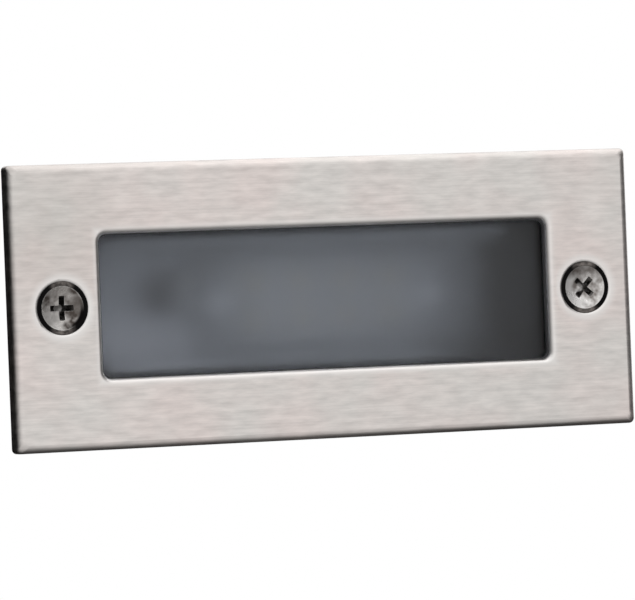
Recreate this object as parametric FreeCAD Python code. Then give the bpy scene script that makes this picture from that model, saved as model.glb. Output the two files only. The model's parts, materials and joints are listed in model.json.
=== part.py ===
import FreeCAD, Part
import math
import os

# A recessed step light for a wall. A pressed steel face plate, a frosted lens and a lamp housing make
# one insert, which two captive screws hold in a plastic box that is set into the wall.
# Millimetres. X runs along the plate, Y into the wall and Z up. The origin lies in the plane of the
# wall, behind the middle of the window.

# Face plate
WINDOW_WIDTH = 90.6
WINDOW_HEIGHT = 26.7
WINDOW_CORNER_RADIUS = 1.5
WINDOW_SIDE_BORDER = 13.1
PLATE_SHEET = 1.2
PLATE_CORNER_RADIUS = 0.9
PLATE_INNER_CORNER_RADIUS = 0.8
PLATE_EDGE_RADIUS = 1.5
BEND_STEPS = 8
WINDOW_EDGE_RADIUS = 1.1
DIMPLE_EDGE_RADIUS = 0.8
RIM_WALL_GAP = 1.2
DIMPLE_DIAMETER = 10.2
DIMPLE_WALL = 0.9
DIMPLE_HOLE_DIAMETER = 4.8
DIMPLE_TO_EDGE = 4.7
DIMPLE_SEAL_CLEARANCE = 0.33

# Gasket between the plate and the box
GASKET_THICKNESS = 2.2
GASKET_RIM_CLEARANCE = 0.5
GASKET_DIMPLE_CLEARANCE = 0.4

# Lens and its seal
LENS_THICKNESS = 4.0
LENS_OVERLAP = 1.4
LENS_CORNER_RADIUS = 2.0
LENS_EDGE_CHAMFER = 0.3
SEAL_LIP = 0.8
SEAL_WALL = 0.8
SEAL_SHOWING = 0.2

# Lamp housing
HOUSING_RIM_WALL = 1.2
HOUSING_FLANGE = 2.0
HOUSING_WALL = 1.5
HOUSING_BACK_WALL = 3.0
HOUSING_CORNER_RADIUS = 2.4
CHAMBER_DEPTH = 19.8
EAR_THICKNESS = 1.8
EAR_HEIGHT = 12.0
EAR_REACH = 4.4
EAR_CORNER_RADIUS = 3.0
FIN_COUNT = 11
FIN_THICKNESS = 1.4
FIN_END_INSET = 4.0
FIN_SETBACK = 0.3
BLIND_HOLE_DEPTH = 2.4

# Reflector and light source
REFLECTOR_SHEET = 0.8
REFLECTOR_TAPER = 3.0
REFLECTOR_CLEARANCE = 0.3
REFLECTOR_END_GAP = 4.2
REFLECTOR_SETBACK = 4.0
BOARD_OFFSET = 8.0
BOARD_END_INSET = 12.7
BOARD_HEIGHT = 17.0
BOARD_THICKNESS = 1.6
BOARD_CLEARANCE = 0.4
BOARD_SCREW_INSET = 3.0
PAD_THICKNESS = 0.5
PAD_INSET = 0.8
LED_COLUMNS = 4
LED_ROW_SPACING = 7.0
LED_END_INSET = 10.75
LED_LENGTH = 3.5
LED_WIDTH = 2.8
LED_HEIGHT = 0.8

# Bush where the lamp leads pass the housing
LEAD_HOLE_OFFSET = 7.4
LEAD_HOLE_HEIGHT = 1.8
LEAD_BUSH_BORE = 4.0
LEAD_BUSH_NECK = 5.6
LEAD_BUSH_FLANGE = 7.0
LEAD_BUSH_FLANGE_THICKNESS = 1.2

# Supply unit behind the housing
DRIVER_OFFSET = 20.0
DRIVER_END_INSET = 0.7
DRIVER_HEIGHT = 26.0
DRIVER_DEPTH = 14.0
DRIVER_WALL = 1.5
DRIVER_CORNER_RADIUS = 2.0
DRIVER_POST_HEIGHT = 2.5
DRIVER_POST_WIDTH = 3.0
DRIVER_EAR_LENGTH = 5.5
DRIVER_EAR_HEIGHT = 10.0
DRIVER_EAR_THICKNESS = 2.5
DRIVER_LID_RIM = 1.2
DRIVER_FIT = 0.3
COMPONENT_HEADROOM = 2.2
TRANSFORMER_LENGTH = 14.0
TRANSFORMER_HEIGHT = 13.0
TRANSFORMER_WINDING_LENGTH = 8.4
TRANSFORMER_WINDING_RISE = 1.5
CAPACITOR_DIAMETER = 7.0
COMPONENT_GAP = 1.5

# Terminal block behind the housing
TERMINAL_INSET = 2.2
TERMINAL_WIDTH = 12.0
TERMINAL_DEPTH = 13.0
TERMINAL_POLES = 3
TERMINAL_PITCH = 7.4
TERMINAL_END_WALL = 1.5
TERMINAL_NOTCH_WIDTH = 1.2
TERMINAL_NOTCH_DEPTH = 2.0
CLAMP_AXIS_HEIGHT = 5.0
CLAMP_DIAMETER = 4.4
CLAMP_BORE = 3.0
CLAMP_INSET = 0.5
CLAMP_SCREW_DIAMETER = 3.0
CLAMP_SCREW_SPACING = 6.0
CLAMP_SCREW_SUNK = 1.5
CLAMP_SCREW_SLOT = 0.6
FIXING_SEAT_HEIGHT = 8.0

# Earth connection
EARTH_OFFSET = 12.0
EARTH_EDGE_INSET = 3.3
EARTH_TAG_THICKNESS = 0.8
EARTH_TAG_WIDTH = 6.4
EARTH_BARREL_OFFSET = 5.5
EARTH_BARREL_DIAMETER = 3.2
EARTH_BARREL_BORE = 2.0
EARTH_BARREL_LENGTH = 4.0

# Wall box
LIP_THICKNESS = 1.2
LIP_RIM_CLEARANCE = 0.9
LIP_CORNER_RADIUS = 2.0
BOX_WALL = 1.8
BOX_BACK_WALL = 2.0
BOX_CORNER_RADIUS = 3.0
BOX_END_TAPER = 6.2
BOX_BACK_EDGE_RADIUS = 1.0
HOUSING_CLEARANCE = 0.3
WIRING_SPACE = 8.0
BOSS_INNER_WALL = 1.0
BOSS_OUTER_WALL = 1.2
BOSS_FLOOR = 1.2
BOSS_CHAMFER_DEPTH = 7.0
BOSS_CHAMFER_WIDTH = 2.3
EAR_CLEARANCE = 0.3
BARB_HEIGHT = 1.6
BARB_RAMP = 5.0
BARB_LENGTH = 22.0
BARB_SPACING = 52.0
BARB_FIRST_DEPTH = 14.0
BARB_PITCH = 10.0
BARB_ROWS = 3
KNOCKOUT_DIAMETER = 16.0
KNOCKOUT_GROOVE = 0.8
KNOCKOUT_SCORE_DEPTH = 0.7
FIXING_SPACING = 76.0
FIXING_HOLE_DIAMETER = 4.5

# Cable entry in the box's rear wall
ENTRY_HEIGHT = 0.0
ENTRY_HOLE_DIAMETER = 12.0
ENTRY_BORE = 7.0
ENTRY_FLANGE_DIAMETER = 16.0
ENTRY_INNER_FLANGE = 2.0
ENTRY_OUTER_FLANGE = 1.8
ENTRY_NOZZLE_LENGTH = 5.0
ENTRY_NOZZLE_WALL = 1.4

# Captive screws, their seals and their inserts
SCREW_PITCH = 0.7
SCREW_TURNS = 8
SCREW_THREAD_DIAMETER = 3.9
SCREW_THREAD_DEPTH = 0.4
SCREW_WAIST_DIAMETER = 2.9
SCREW_HEAD_DIAMETER = 8.2
SCREW_HEAD_DISH = 0.6
SCREW_TIP_CHAMFER = 0.7
SCREW_TIP_CLEARANCE = 0.5
SCREW_END_CLEARANCE = 0.1
LEFT_SCREW_ANGLE = 0.0
RIGHT_SCREW_ANGLE = 42.0
CROSS_LENGTH = 4.6
CROSS_WIDTH = 1.1
CROSS_DEPTH = 2.1
CROSS_TIP_DIAMETER = 1.6
SEAL_WASHER_THICKNESS = 0.5
SEAL_WASHER_SETBACK = 0.1
CONE_FIT = 0.05
RETAINER_THICKNESS = 1.0
RETAINER_DIAMETER = 6.4
RETAINER_CLEARANCE = 0.1
RETAINER_POCKET_CLEARANCE = 0.3
INSERT_DIAMETER = 5.5
INSERT_BORE = 4.1
INSERT_LENGTH = 5.0
INSERT_GROOVE = 0.4

# Small fixing screws
SMALL_SCREW_DIAMETER = 2.4
SMALL_SCREW_HEAD = 4.4
SMALL_SCREW_HEAD_HEIGHT = 1.6
SMALL_SCREW_CLEARANCE = 0.15
SMALL_SCREW_SLOT_WIDTH = 0.6
SMALL_SCREW_SLOT_DEPTH = 0.7
THREAD_FIT = 0.05

# Leads
MAINS_LEAD_DIAMETER = 1.8
MAINS_LEAD_GRIP = 3.5
MAINS_LEAD_STRAIGHT = 7.5
EARTH_LEAD_SEAT = 0.5
LAMP_LEAD_DIAMETER = 1.4
LAMP_LEAD_SPACING = 1.7
LAMP_LEAD_REACH_OUTSIDE = 4.5
LAMP_LEAD_REACH_INSIDE = 6.4

# A tool that cuts right through starts this far outside the solid
OVERSHOOT = 2.0

# Levels along Y, from the wall's plane
lip_front = -LIP_THICKNESS
plate_back = lip_front - GASKET_THICKNESS
plate_front = plate_back - PLATE_SHEET
rim_back = -RIM_WALL_GAP
ear_front = lip_front
ear_back = ear_front + EAR_THICKNESS
lens_front = plate_back + SEAL_LIP
lens_back = lens_front + LENS_THICKNESS
shelf = lens_back + SEAL_LIP
chamber_floor = shelf + CHAMBER_DEPTH
housing_back = chamber_floor + HOUSING_BACK_WALL
driver_back = housing_back + DRIVER_DEPTH
taper_front = housing_back + HOUSING_CLEARANCE
cavity_back = housing_back + max(DRIVER_DEPTH, TERMINAL_DEPTH) + WIRING_SPACE
box_back = cavity_back + BOX_BACK_WALL
retainer_back = ear_back + RETAINER_THICKNESS
screw_travel = SCREW_PITCH * SCREW_TURNS
thread_front = retainer_back + screw_travel + SCREW_END_CLEARANCE
insert_front = thread_front
insert_back = insert_front + INSERT_LENGTH
thread_back = insert_back + SCREW_THREAD_DEPTH
screw_tip = thread_back + SCREW_TIP_CHAMFER
screw_hole_back = screw_tip + SCREW_TIP_CLEARANCE
boss_back = screw_hole_back + BOSS_FLOOR

# Half widths along X and half heights along Z, from the window outwards
window_half = (WINDOW_WIDTH / 2, WINDOW_HEIGHT / 2)


def grown(half, margin):
    """A pair of half sizes, wider by a margin on every side."""
    return (half[0] + margin, half[1] + margin)


chamber_half = grown(window_half, -SEAL_SHOWING)
chamber_wall_half = grown(chamber_half, HOUSING_WALL)
lens_half = grown(window_half, LENS_OVERLAP)
seal_half = grown(lens_half, SEAL_WALL)
rim_half = grown(seal_half, HOUSING_RIM_WALL)
cavity_half = grown(rim_half, HOUSING_CLEARANCE)
box_half = grown(cavity_half, BOX_WALL)

# A 45 degree cone carries the screw: its radius shrinks by as much as the depth grows
dimple_radius = DIMPLE_DIAMETER / 2
dimple_back_cone = dimple_radius + DIMPLE_WALL * math.sqrt(2.0)
dimple_back_radius = dimple_back_cone - PLATE_SHEET
screw_x = max(
    cavity_half[0] + BOSS_INNER_WALL + INSERT_DIAMETER / 2,
    seal_half[0] + dimple_back_radius + DIMPLE_SEAL_CLEARANCE,
)
plate_half = (screw_x + dimple_radius + DIMPLE_TO_EDGE, window_half[1] + WINDOW_SIDE_BORDER)
plate_inner_half = grown(plate_half, -PLATE_SHEET)
lip_half = grown(plate_inner_half, -LIP_RIM_CLEARANCE)

# Places on the back of the housing, from its left end
terminal_left = -chamber_wall_half[0] + TERMINAL_INSET
terminal_right = terminal_left + TERMINAL_WIDTH
terminal_x = (terminal_left + terminal_right) / 2
clamp_y = housing_back + CLAMP_AXIS_HEIGHT
lead_hole_x = terminal_right + LEAD_HOLE_OFFSET
earth_x = terminal_right + EARTH_OFFSET
earth_z = EARTH_EDGE_INSET - chamber_half[1]
driver_left = lead_hole_x + DRIVER_OFFSET
driver_right = chamber_wall_half[0] - DRIVER_EAR_LENGTH - DRIVER_END_INSET
driver_x = (driver_left + driver_right) / 2
driver_length = driver_right - driver_left
driver_screw_x = (driver_left - DRIVER_EAR_LENGTH / 2, driver_right + DRIVER_EAR_LENGTH / 2)
driver_board_front = housing_back + DRIVER_WALL + DRIVER_POST_HEIGHT
driver_board_back = driver_board_front + BOARD_THICKNESS
driver_lid_front = driver_back - DRIVER_WALL
component_back = driver_lid_front - COMPONENT_HEADROOM
board_left = lead_hole_x + BOARD_OFFSET
board_right = chamber_half[0] - BOARD_END_INSET
board_x = (board_left + board_right) / 2
board_length = board_right - board_left
board_back = chamber_floor - PAD_THICKNESS
board_front = board_back - BOARD_THICKNESS
board_screw_x = (board_left + BOARD_SCREW_INSET, board_right - BOARD_SCREW_INSET)
small_hole_radius = SMALL_SCREW_DIAMETER / 2 + SMALL_SCREW_CLEARANCE
small_thread_radius = SMALL_SCREW_DIAMETER / 2 + THREAD_FIT
fixing_z = [TERMINAL_PITCH * (step - (TERMINAL_POLES - 2) / 2) for step in range(TERMINAL_POLES - 1)]
pole_z = [TERMINAL_PITCH * (step - (TERMINAL_POLES - 1) / 2) for step in range(TERMINAL_POLES)]


def block(x_span, y_span, z_span):
    """A box between the ends of its spans."""
    corner = FreeCAD.Vector(x_span[0], y_span[0], z_span[0])
    return Part.makeBox(x_span[1] - x_span[0], y_span[1] - y_span[0], z_span[1] - z_span[0], corner)


def about(middle, size):
    """The span of a size centred on a middle."""
    return (middle - size / 2, middle + size / 2)


def upright_edges(shape):
    """The straight edges that run along Y."""
    found = []
    for edge in shape.Edges:
        box = edge.BoundBox
        if box.YLength > max(box.XLength, box.ZLength) * 10:
            found.append(edge)
    return found


def edges_at(shape, y):
    """The edges that lie in the plane at depth y."""
    near = 1e-6
    return [e for e in shape.Edges if abs(e.BoundBox.YMin - y) < near and abs(e.BoundBox.YMax - y) < near]


def rounded_block(half, radius, front, back, x=0.0, z=0.0):
    """A block with rounded corners, between two depths, given by its half sizes along X and Z."""
    raw = block(about(x, 2 * half[0]), (front, back), about(z, 2 * half[1]))
    limit = 0.49 * min(2 * half[0], 2 * half[1])
    return raw.makeFillet(min(radius, limit), upright_edges(raw))


def outline_at(half, radius, y):
    """The outline of a block with rounded corners, as a wire at one depth."""
    sheet = rounded_block(half, radius, y, y + OVERSHOOT)
    return min(sheet.Faces, key=lambda face: face.BoundBox.YMax).OuterWire


def rod(radius, front, back, x=0.0, z=0.0):
    """A cylinder along Y between two depths."""
    return Part.makeCylinder(radius, back - front, FreeCAD.Vector(x, front, z), FreeCAD.Vector(0, 1, 0))


def ring(outer_radius, inner_radius, front, back, x=0.0, z=0.0):
    """A tube along Y between two depths."""
    bore = rod(inner_radius, front - OVERSHOOT, back + OVERSHOOT, x, z)
    return rod(outer_radius, front, back, x, z).cut(bore)


def spun(edges, x, z):
    """A solid of revolution about the line along Y through x and z, from edges drawn about the Y axis."""
    face = Part.Face(Part.Wire(edges))
    solid = face.revolve(FreeCAD.Vector(0, 0, 0), FreeCAD.Vector(0, 1, 0), 360)
    solid.translate(FreeCAD.Vector(x, 0, z))
    return solid


def turned(profile, x=0.0, z=0.0):
    """A solid of revolution along Y from a closed list of (radius, depth) corners."""
    corners = [FreeCAD.Vector(radius, y, 0) for radius, y in profile]
    return spun(Part.makePolygon(corners + corners[:1]).Edges, x, z)


def joined(shapes):
    """One solid made of overlapping shapes."""
    return shapes[0].fuse(shapes[1:]).removeSplitter()


def small_screw(x, z, seat, outward, reach):
    """A slotted pan-head screw along Y: its head stands outward of the seat, its shank goes inward."""
    head_top = seat + outward * SMALL_SCREW_HEAD_HEIGHT
    tip = seat - outward * reach
    head = rod(SMALL_SCREW_HEAD / 2, min(seat, head_top), max(seat, head_top), x, z)
    head = head.makeFillet(SMALL_SCREW_HEAD_HEIGHT / 2, edges_at(head, head_top))
    shank = rod(SMALL_SCREW_DIAMETER / 2, min(seat, tip), max(seat, tip), x, z)
    slot_floor = head_top - outward * SMALL_SCREW_SLOT_DEPTH
    slot_top = head_top + outward * OVERSHOOT
    slot_depths = (min(slot_floor, slot_top), max(slot_floor, slot_top))
    slot = block(about(x, SMALL_SCREW_HEAD + OVERSHOOT), slot_depths, about(z, SMALL_SCREW_SLOT_WIDTH))
    return joined([head, shank]).cut(slot)


def blind_hole(x, z, from_back):
    """The tapped hole for a small screw in the housing's back wall, from its back or from the chamber."""
    if from_back:
        return rod(small_thread_radius, housing_back - BLIND_HOLE_DEPTH, housing_back + OVERSHOOT, x, z)
    return rod(small_thread_radius, chamber_floor - OVERSHOOT, chamber_floor + BLIND_HOLE_DEPTH, x, z)


def screw_sides():
    """The two screw places along X."""
    return (-screw_x, screw_x)


def face_plate():
    """Pressed tray: a flat front with a window and two conical dimples, and a folded rim."""
    inside = rounded_block(plate_inner_half, PLATE_INNER_CORNER_RADIUS, plate_back, rim_back + OVERSHOOT)
    plate = bent_block().cut(inside)
    plate = plate.cut(
        rounded_block(window_half, WINDOW_CORNER_RADIUS, plate_front - OVERSHOOT, plate_back + OVERSHOOT))
    back_tip = dimple_back_cone - (ear_front - plate_front)
    mouth = dimple_radius + OVERSHOOT
    hole = DIMPLE_HOLE_DIAMETER / 2
    hole_depth = plate_front + dimple_radius - hole
    for x in screw_sides():
        shell = turned([
            (0.0, plate_front), (dimple_back_radius, plate_front), (dimple_back_radius, plate_back),
            (back_tip, ear_front), (0.0, ear_front)], x)
        hollow = turned([
            (0.0, plate_front - OVERSHOOT), (mouth, plate_front - OVERSHOOT), (hole, hole_depth),
            (hole, ear_front + OVERSHOOT), (0.0, ear_front + OVERSHOOT)], x)
        plate = plate.fuse(shell).removeSplitter().cut(hollow)
    plate = plate.makeFillet(min(WINDOW_EDGE_RADIUS, 0.95 * PLATE_SHEET), mouth_edges(plate, True))
    return plate.makeFillet(DIMPLE_EDGE_RADIUS, mouth_edges(plate, False))


def bent_block():
    """The plate's outside: outlines with the same corners, drawn in towards the front by the bend's arc."""
    outlines = []
    for step in range(BEND_STEPS + 1):
        turn = math.pi / 2 * step / BEND_STEPS
        inset = PLATE_EDGE_RADIUS * (1 - math.sin(turn))
        y = plate_front + PLATE_EDGE_RADIUS * (1 - math.cos(turn))
        outlines.append(outline_at(grown(plate_half, -inset), PLATE_CORNER_RADIUS, y))
    bend_back = plate_front + PLATE_EDGE_RADIUS
    rim = rounded_block(plate_half, PLATE_CORNER_RADIUS, bend_back, rim_back)
    return joined([Part.makeLoft(outlines, True), rim])


def mouth_edges(plate, of_window):
    """The front edges of the window, or those of the two dimples."""
    between = screw_x - dimple_radius
    inner = [e for e in edges_at(plate, plate_front) if not touches_bend(e)]
    return [e for e in inner if (abs(e.BoundBox.Center.x) < between) == of_window]


def touches_bend(edge):
    """Whether an edge of the plate's flat front reaches the bend round it."""
    near = 1e-3
    flat_half = grown(plate_half, -PLATE_EDGE_RADIUS - near)
    box = edge.BoundBox
    along_x = max(abs(box.XMin), abs(box.XMax)) > flat_half[0]
    along_z = max(abs(box.ZMin), abs(box.ZMax)) > flat_half[1]
    return along_x or along_z


def face_gasket():
    """Sheet gasket between the plate and the box's lip, open round the housing and the dimples."""
    outline = grown(plate_inner_half, -GASKET_RIM_CLEARANCE)
    sheet = rounded_block(outline, LIP_CORNER_RADIUS, plate_back, lip_front)
    sheet = sheet.cut(rounded_block(cavity_half, HOUSING_CORNER_RADIUS, plate_back - OVERSHOOT, OVERSHOOT))
    for x in screw_sides():
        radius = dimple_back_radius + GASKET_DIMPLE_CLEARANCE
        sheet = sheet.cut(rod(radius, plate_back - OVERSHOOT, lip_front + OVERSHOOT, x))
    return sheet


def lens_pane(chamfer):
    """The pane of glass, with its edges broken by a chamfer."""
    pane = rounded_block(lens_half, LENS_CORNER_RADIUS, lens_front, lens_back)
    return pane.makeChamfer(chamfer, edges_at(pane, lens_front) + edges_at(pane, lens_back))


def lens_glass():
    """Frosted pane behind the window."""
    return lens_pane(LENS_EDGE_CHAMFER)


def lens_seal():
    """Frame of U section round the pane's edge."""
    frame = rounded_block(seal_half, LENS_CORNER_RADIUS + SEAL_WALL, plate_back, shelf)
    opening = rounded_block(chamber_half, WINDOW_CORNER_RADIUS, plate_back - OVERSHOOT, shelf + OVERSHOOT)
    return frame.cut(opening).cut(lens_pane(LENS_EDGE_CHAMFER))


def lamp_housing():
    """Die-cast tray with a pocket for the lens, two ears for the screws and fins on its top and bottom."""
    flange_back = shelf + HOUSING_FLANGE
    parts = [
        rounded_block(rim_half, HOUSING_CORNER_RADIUS, ear_front, flange_back),
        rounded_block(chamber_wall_half, HOUSING_CORNER_RADIUS, shelf, housing_back),
    ]
    for side in (-1, 1):
        ear_span = sorted((side * seal_half[0], side * (screw_x + EAR_REACH)))
        ear = block(ear_span, (ear_front, ear_back), about(0.0, EAR_HEIGHT))
        ear_end = [e for e in upright_edges(ear) if abs(e.BoundBox.XMin) > screw_x]
        parts.append(ear.makeFillet(EAR_CORNER_RADIUS, ear_end))
    fin_reach = chamber_wall_half[0] - FIN_END_INSET
    fin_root = chamber_half[1] + HOUSING_WALL / 2
    for step in range(FIN_COUNT):
        x = fin_reach * (2 * step / (FIN_COUNT - 1) - 1)
        for side in (-1, 1):
            fin_span = sorted((side * fin_root, side * (rim_half[1] - FIN_SETBACK)))
            parts.append(block(about(x, FIN_THICKNESS), (shelf, housing_back), fin_span))
    body = joined(parts)
    cuts = [
        rounded_block(seal_half, LENS_CORNER_RADIUS + SEAL_WALL, ear_front - OVERSHOOT, shelf),
        rounded_block(chamber_half, WINDOW_CORNER_RADIUS, ear_front - OVERSHOOT, chamber_floor),
        rod(LEAD_BUSH_NECK / 2, chamber_floor - OVERSHOOT, housing_back + OVERSHOOT,
            lead_hole_x, LEAD_HOLE_HEIGHT),
        blind_hole(earth_x, earth_z, True),
    ]
    cuts += [rod(DIMPLE_HOLE_DIAMETER / 2, ear_front - OVERSHOOT, ear_back + OVERSHOOT, x)
             for x in screw_sides()]
    cuts += [blind_hole(x, 0.0, False) for x in board_screw_x]
    cuts += [blind_hole(x, 0.0, True) for x in driver_screw_x]
    cuts += [blind_hole(terminal_x, z, True) for z in fixing_z]
    return body.cut(cuts)


def reflector_loft(inset, front, back):
    """A solid that tapers from the lens to the chamber's floor."""
    depth = chamber_floor - shelf
    sections = []
    for y in (front, back):
        taper = REFLECTOR_TAPER * (y - shelf) / depth
        half = grown(chamber_half, -REFLECTOR_CLEARANCE - inset - taper)
        sections.append(outline_at(half, WINDOW_CORNER_RADIUS, y))
    return Part.makeLoft(sections, True, True)


def reflector():
    """Folded sheet trough, open at its ends, with room for the lamp board and the lead bush."""
    floor = chamber_floor - REFLECTOR_SHEET
    mouth = shelf + REFLECTOR_SETBACK
    reach = chamber_half[0] - REFLECTOR_END_GAP
    tray = reflector_loft(0.0, mouth, chamber_floor)
    tray = tray.cut(reflector_loft(REFLECTOR_SHEET, mouth - OVERSHOOT / 2, floor))
    tray = tray.common(block((-reach, reach), (mouth, chamber_floor), (-chamber_half[1], chamber_half[1])))
    opening = (board_length / 2 + BOARD_CLEARANCE, BOARD_HEIGHT / 2 + BOARD_CLEARANCE)
    tray = tray.cut(
        rounded_block(opening, BOARD_CLEARANCE, floor - OVERSHOOT, chamber_floor + OVERSHOOT, board_x))
    bush = LEAD_BUSH_FLANGE / 2 + BOARD_CLEARANCE
    hole = rod(bush, floor - OVERSHOOT, chamber_floor + OVERSHOOT, lead_hole_x, LEAD_HOLE_HEIGHT)
    return tray.cut(hole)


def led_board():
    """Metal-core board with two screw holes."""
    half = (board_length / 2, BOARD_HEIGHT / 2)
    board = rounded_block(half, BOARD_CLEARANCE, board_front, board_back, board_x)
    return board.cut([
        rod(small_hole_radius, board_front - OVERSHOOT, board_back + OVERSHOOT, x) for x in board_screw_x])


def led_emitters():
    """Two rows of light-emitting packages."""
    pitch = (board_length - 2 * LED_END_INSET) / (LED_COLUMNS - 1)
    packages = []
    for column in range(LED_COLUMNS):
        x = board_left + LED_END_INSET + pitch * column
        for z in (-LED_ROW_SPACING / 2, LED_ROW_SPACING / 2):
            spans = (about(x, LED_LENGTH), (board_front - LED_HEIGHT, board_front), about(z, LED_WIDTH))
            packages.append(block(*spans))
    return Part.makeCompound(packages)


def thermal_pad():
    """Soft pad under the lamp board."""
    half = (board_length / 2 - PAD_INSET, BOARD_HEIGHT / 2 - PAD_INSET)
    pad = rounded_block(half, PAD_INSET, board_back, chamber_floor, board_x)
    return pad.cut([
        rod(small_hole_radius, board_back - OVERSHOOT, chamber_floor + OVERSHOOT, x) for x in board_screw_x])


def board_screws():
    """Two screws through the lamp board into the housing."""
    reach = chamber_floor - board_front + BLIND_HOLE_DEPTH - THREAD_FIT
    return Part.makeCompound([small_screw(x, 0.0, board_front, -1, reach) for x in board_screw_x])


def lead_grommet():
    """Rubber bush in the housing's back wall."""
    bore = LEAD_BUSH_BORE / 2
    neck = LEAD_BUSH_NECK / 2
    flange = LEAD_BUSH_FLANGE / 2
    front = chamber_floor - LEAD_BUSH_FLANGE_THICKNESS
    back = housing_back + LEAD_BUSH_FLANGE_THICKNESS
    return turned([
        (bore, front), (flange, front), (flange, chamber_floor), (neck, chamber_floor),
        (neck, housing_back), (flange, housing_back), (flange, back), (bore, back)],
        lead_hole_x, LEAD_HOLE_HEIGHT)


def driver_case():
    """Open case of the supply with corner posts and two fixing ears."""
    half = (driver_length / 2, DRIVER_HEIGHT / 2)
    inner = grown(half, -DRIVER_WALL)
    floor = housing_back + DRIVER_WALL
    case = rounded_block(half, DRIVER_CORNER_RADIUS, housing_back, driver_lid_front, driver_x)
    case = case.cut(rounded_block(inner, DRIVER_LID_RIM / 2, floor, driver_back, driver_x))
    parts = [case]
    for side_x in (-1, 1):
        for side_z in (-1, 1):
            post_inner_x = driver_x + side_x * (inner[0] - DRIVER_POST_WIDTH)
            post_x = sorted((driver_x + side_x * half[0], post_inner_x))
            post_z = sorted((side_z * half[1], side_z * (inner[1] - DRIVER_POST_WIDTH)))
            post = block(post_x, (housing_back, driver_board_front), post_z)
            parts.append(post.common(rounded_block(
                half, DRIVER_CORNER_RADIUS, housing_back, driver_back, driver_x)))
    ear_back_face = housing_back + DRIVER_EAR_THICKNESS
    ear_x = (driver_left - DRIVER_EAR_LENGTH, driver_right + DRIVER_EAR_LENGTH)
    for start, end in ((ear_x[0], driver_left + DRIVER_WALL), (driver_right - DRIVER_WALL, ear_x[1])):
        parts.append(block((start, end), (housing_back, ear_back_face), about(0.0, DRIVER_EAR_HEIGHT)))
    case = joined(parts)
    return case.cut([rod(small_hole_radius, housing_back - OVERSHOOT, ear_back_face + OVERSHOOT, x)
                     for x in driver_screw_x])


def driver_lid():
    """Lid of the supply, with a rim that drops into the case."""
    half = (driver_length / 2, DRIVER_HEIGHT / 2)
    rim = grown(half, -DRIVER_WALL - DRIVER_FIT)
    top = rounded_block(half, DRIVER_CORNER_RADIUS, driver_lid_front, driver_back, driver_x)
    skirt = rounded_block(rim, DRIVER_LID_RIM / 2, driver_lid_front - DRIVER_LID_RIM, driver_back, driver_x)
    hollow = rounded_block(grown(rim, -DRIVER_LID_RIM), DRIVER_LID_RIM / 2,
                           driver_lid_front - OVERSHOOT, driver_lid_front, driver_x)
    return joined([top, skirt]).cut(hollow)


def driver_board():
    """Circuit board of the supply, on the corner posts."""
    half = grown((driver_length / 2, DRIVER_HEIGHT / 2), -DRIVER_WALL - DRIVER_FIT)
    return rounded_block(half, DRIVER_LID_RIM / 2, driver_board_front, driver_board_back, driver_x)


def driver_transformer():
    """Wound transformer with its two flanges."""
    core = block(about(driver_x, TRANSFORMER_LENGTH), (driver_board_back, component_back),
                 about(0.0, TRANSFORMER_HEIGHT))
    winding = block(about(driver_x, TRANSFORMER_WINDING_LENGTH), (driver_board_back, component_back),
                    about(0.0, TRANSFORMER_HEIGHT + 2 * TRANSFORMER_WINDING_RISE))
    return joined([core, winding])


def driver_capacitors():
    """Two upright capacitors, one each side of the transformer."""
    reach = TRANSFORMER_LENGTH / 2 + COMPONENT_GAP + CAPACITOR_DIAMETER / 2
    cans = []
    for side in (-1, 1):
        can = rod(CAPACITOR_DIAMETER / 2, driver_board_back, component_back, driver_x + side * reach)
        cans.append(can.makeFillet(DRIVER_FIT, edges_at(can, component_back)))
    return Part.makeCompound(cans)


def driver_screws():
    """Two screws through the supply's ears into the housing."""
    seat = housing_back + DRIVER_EAR_THICKNESS
    reach = DRIVER_EAR_THICKNESS + BLIND_HOLE_DEPTH - THREAD_FIT
    return Part.makeCompound([small_screw(x, 0.0, seat, 1, reach) for x in driver_screw_x])


def clamp_screw_places():
    """The (x, z) places of the terminal's clamping screws."""
    return [(x, z) for z in pole_z for x in about(terminal_x, CLAMP_SCREW_SPACING)]


def terminal_block():
    """Terminal body with a channel for each pole, screw wells and a notch between the poles."""
    back = housing_back + TERMINAL_DEPTH
    half_height = TERMINAL_PITCH * (TERMINAL_POLES - 1) / 2 + CLAMP_DIAMETER / 2 + TERMINAL_END_WALL
    body = block((terminal_left, terminal_right), (housing_back, back), (-half_height, half_height))
    cuts = []
    for z in pole_z:
        start = FreeCAD.Vector(terminal_left - OVERSHOOT, clamp_y, z)
        length = TERMINAL_WIDTH + 2 * OVERSHOOT
        channel = CLAMP_DIAMETER / 2 + THREAD_FIT
        cuts.append(Part.makeCylinder(channel, length, start, FreeCAD.Vector(1, 0, 0)))
    for x, z in clamp_screw_places():
        cuts.append(rod(CLAMP_SCREW_DIAMETER / 2 + 2 * THREAD_FIT, clamp_y, back + OVERSHOOT, x, z))
    seat = housing_back + FIXING_SEAT_HEIGHT
    for z in fixing_z:
        cuts.append(rod(small_hole_radius, housing_back - OVERSHOOT, seat + OVERSHOOT, terminal_x, z))
        cuts.append(rod(SMALL_SCREW_HEAD / 2 + SMALL_SCREW_CLEARANCE, seat, back + OVERSHOOT, terminal_x, z))
        notch_x = (terminal_left - OVERSHOOT, terminal_right + OVERSHOOT)
        notch_y = (back - TERMINAL_NOTCH_DEPTH, back + OVERSHOOT)
        cuts.append(block(notch_x, notch_y, about(z, TERMINAL_NOTCH_WIDTH)))
    return body.cut(cuts)


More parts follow.
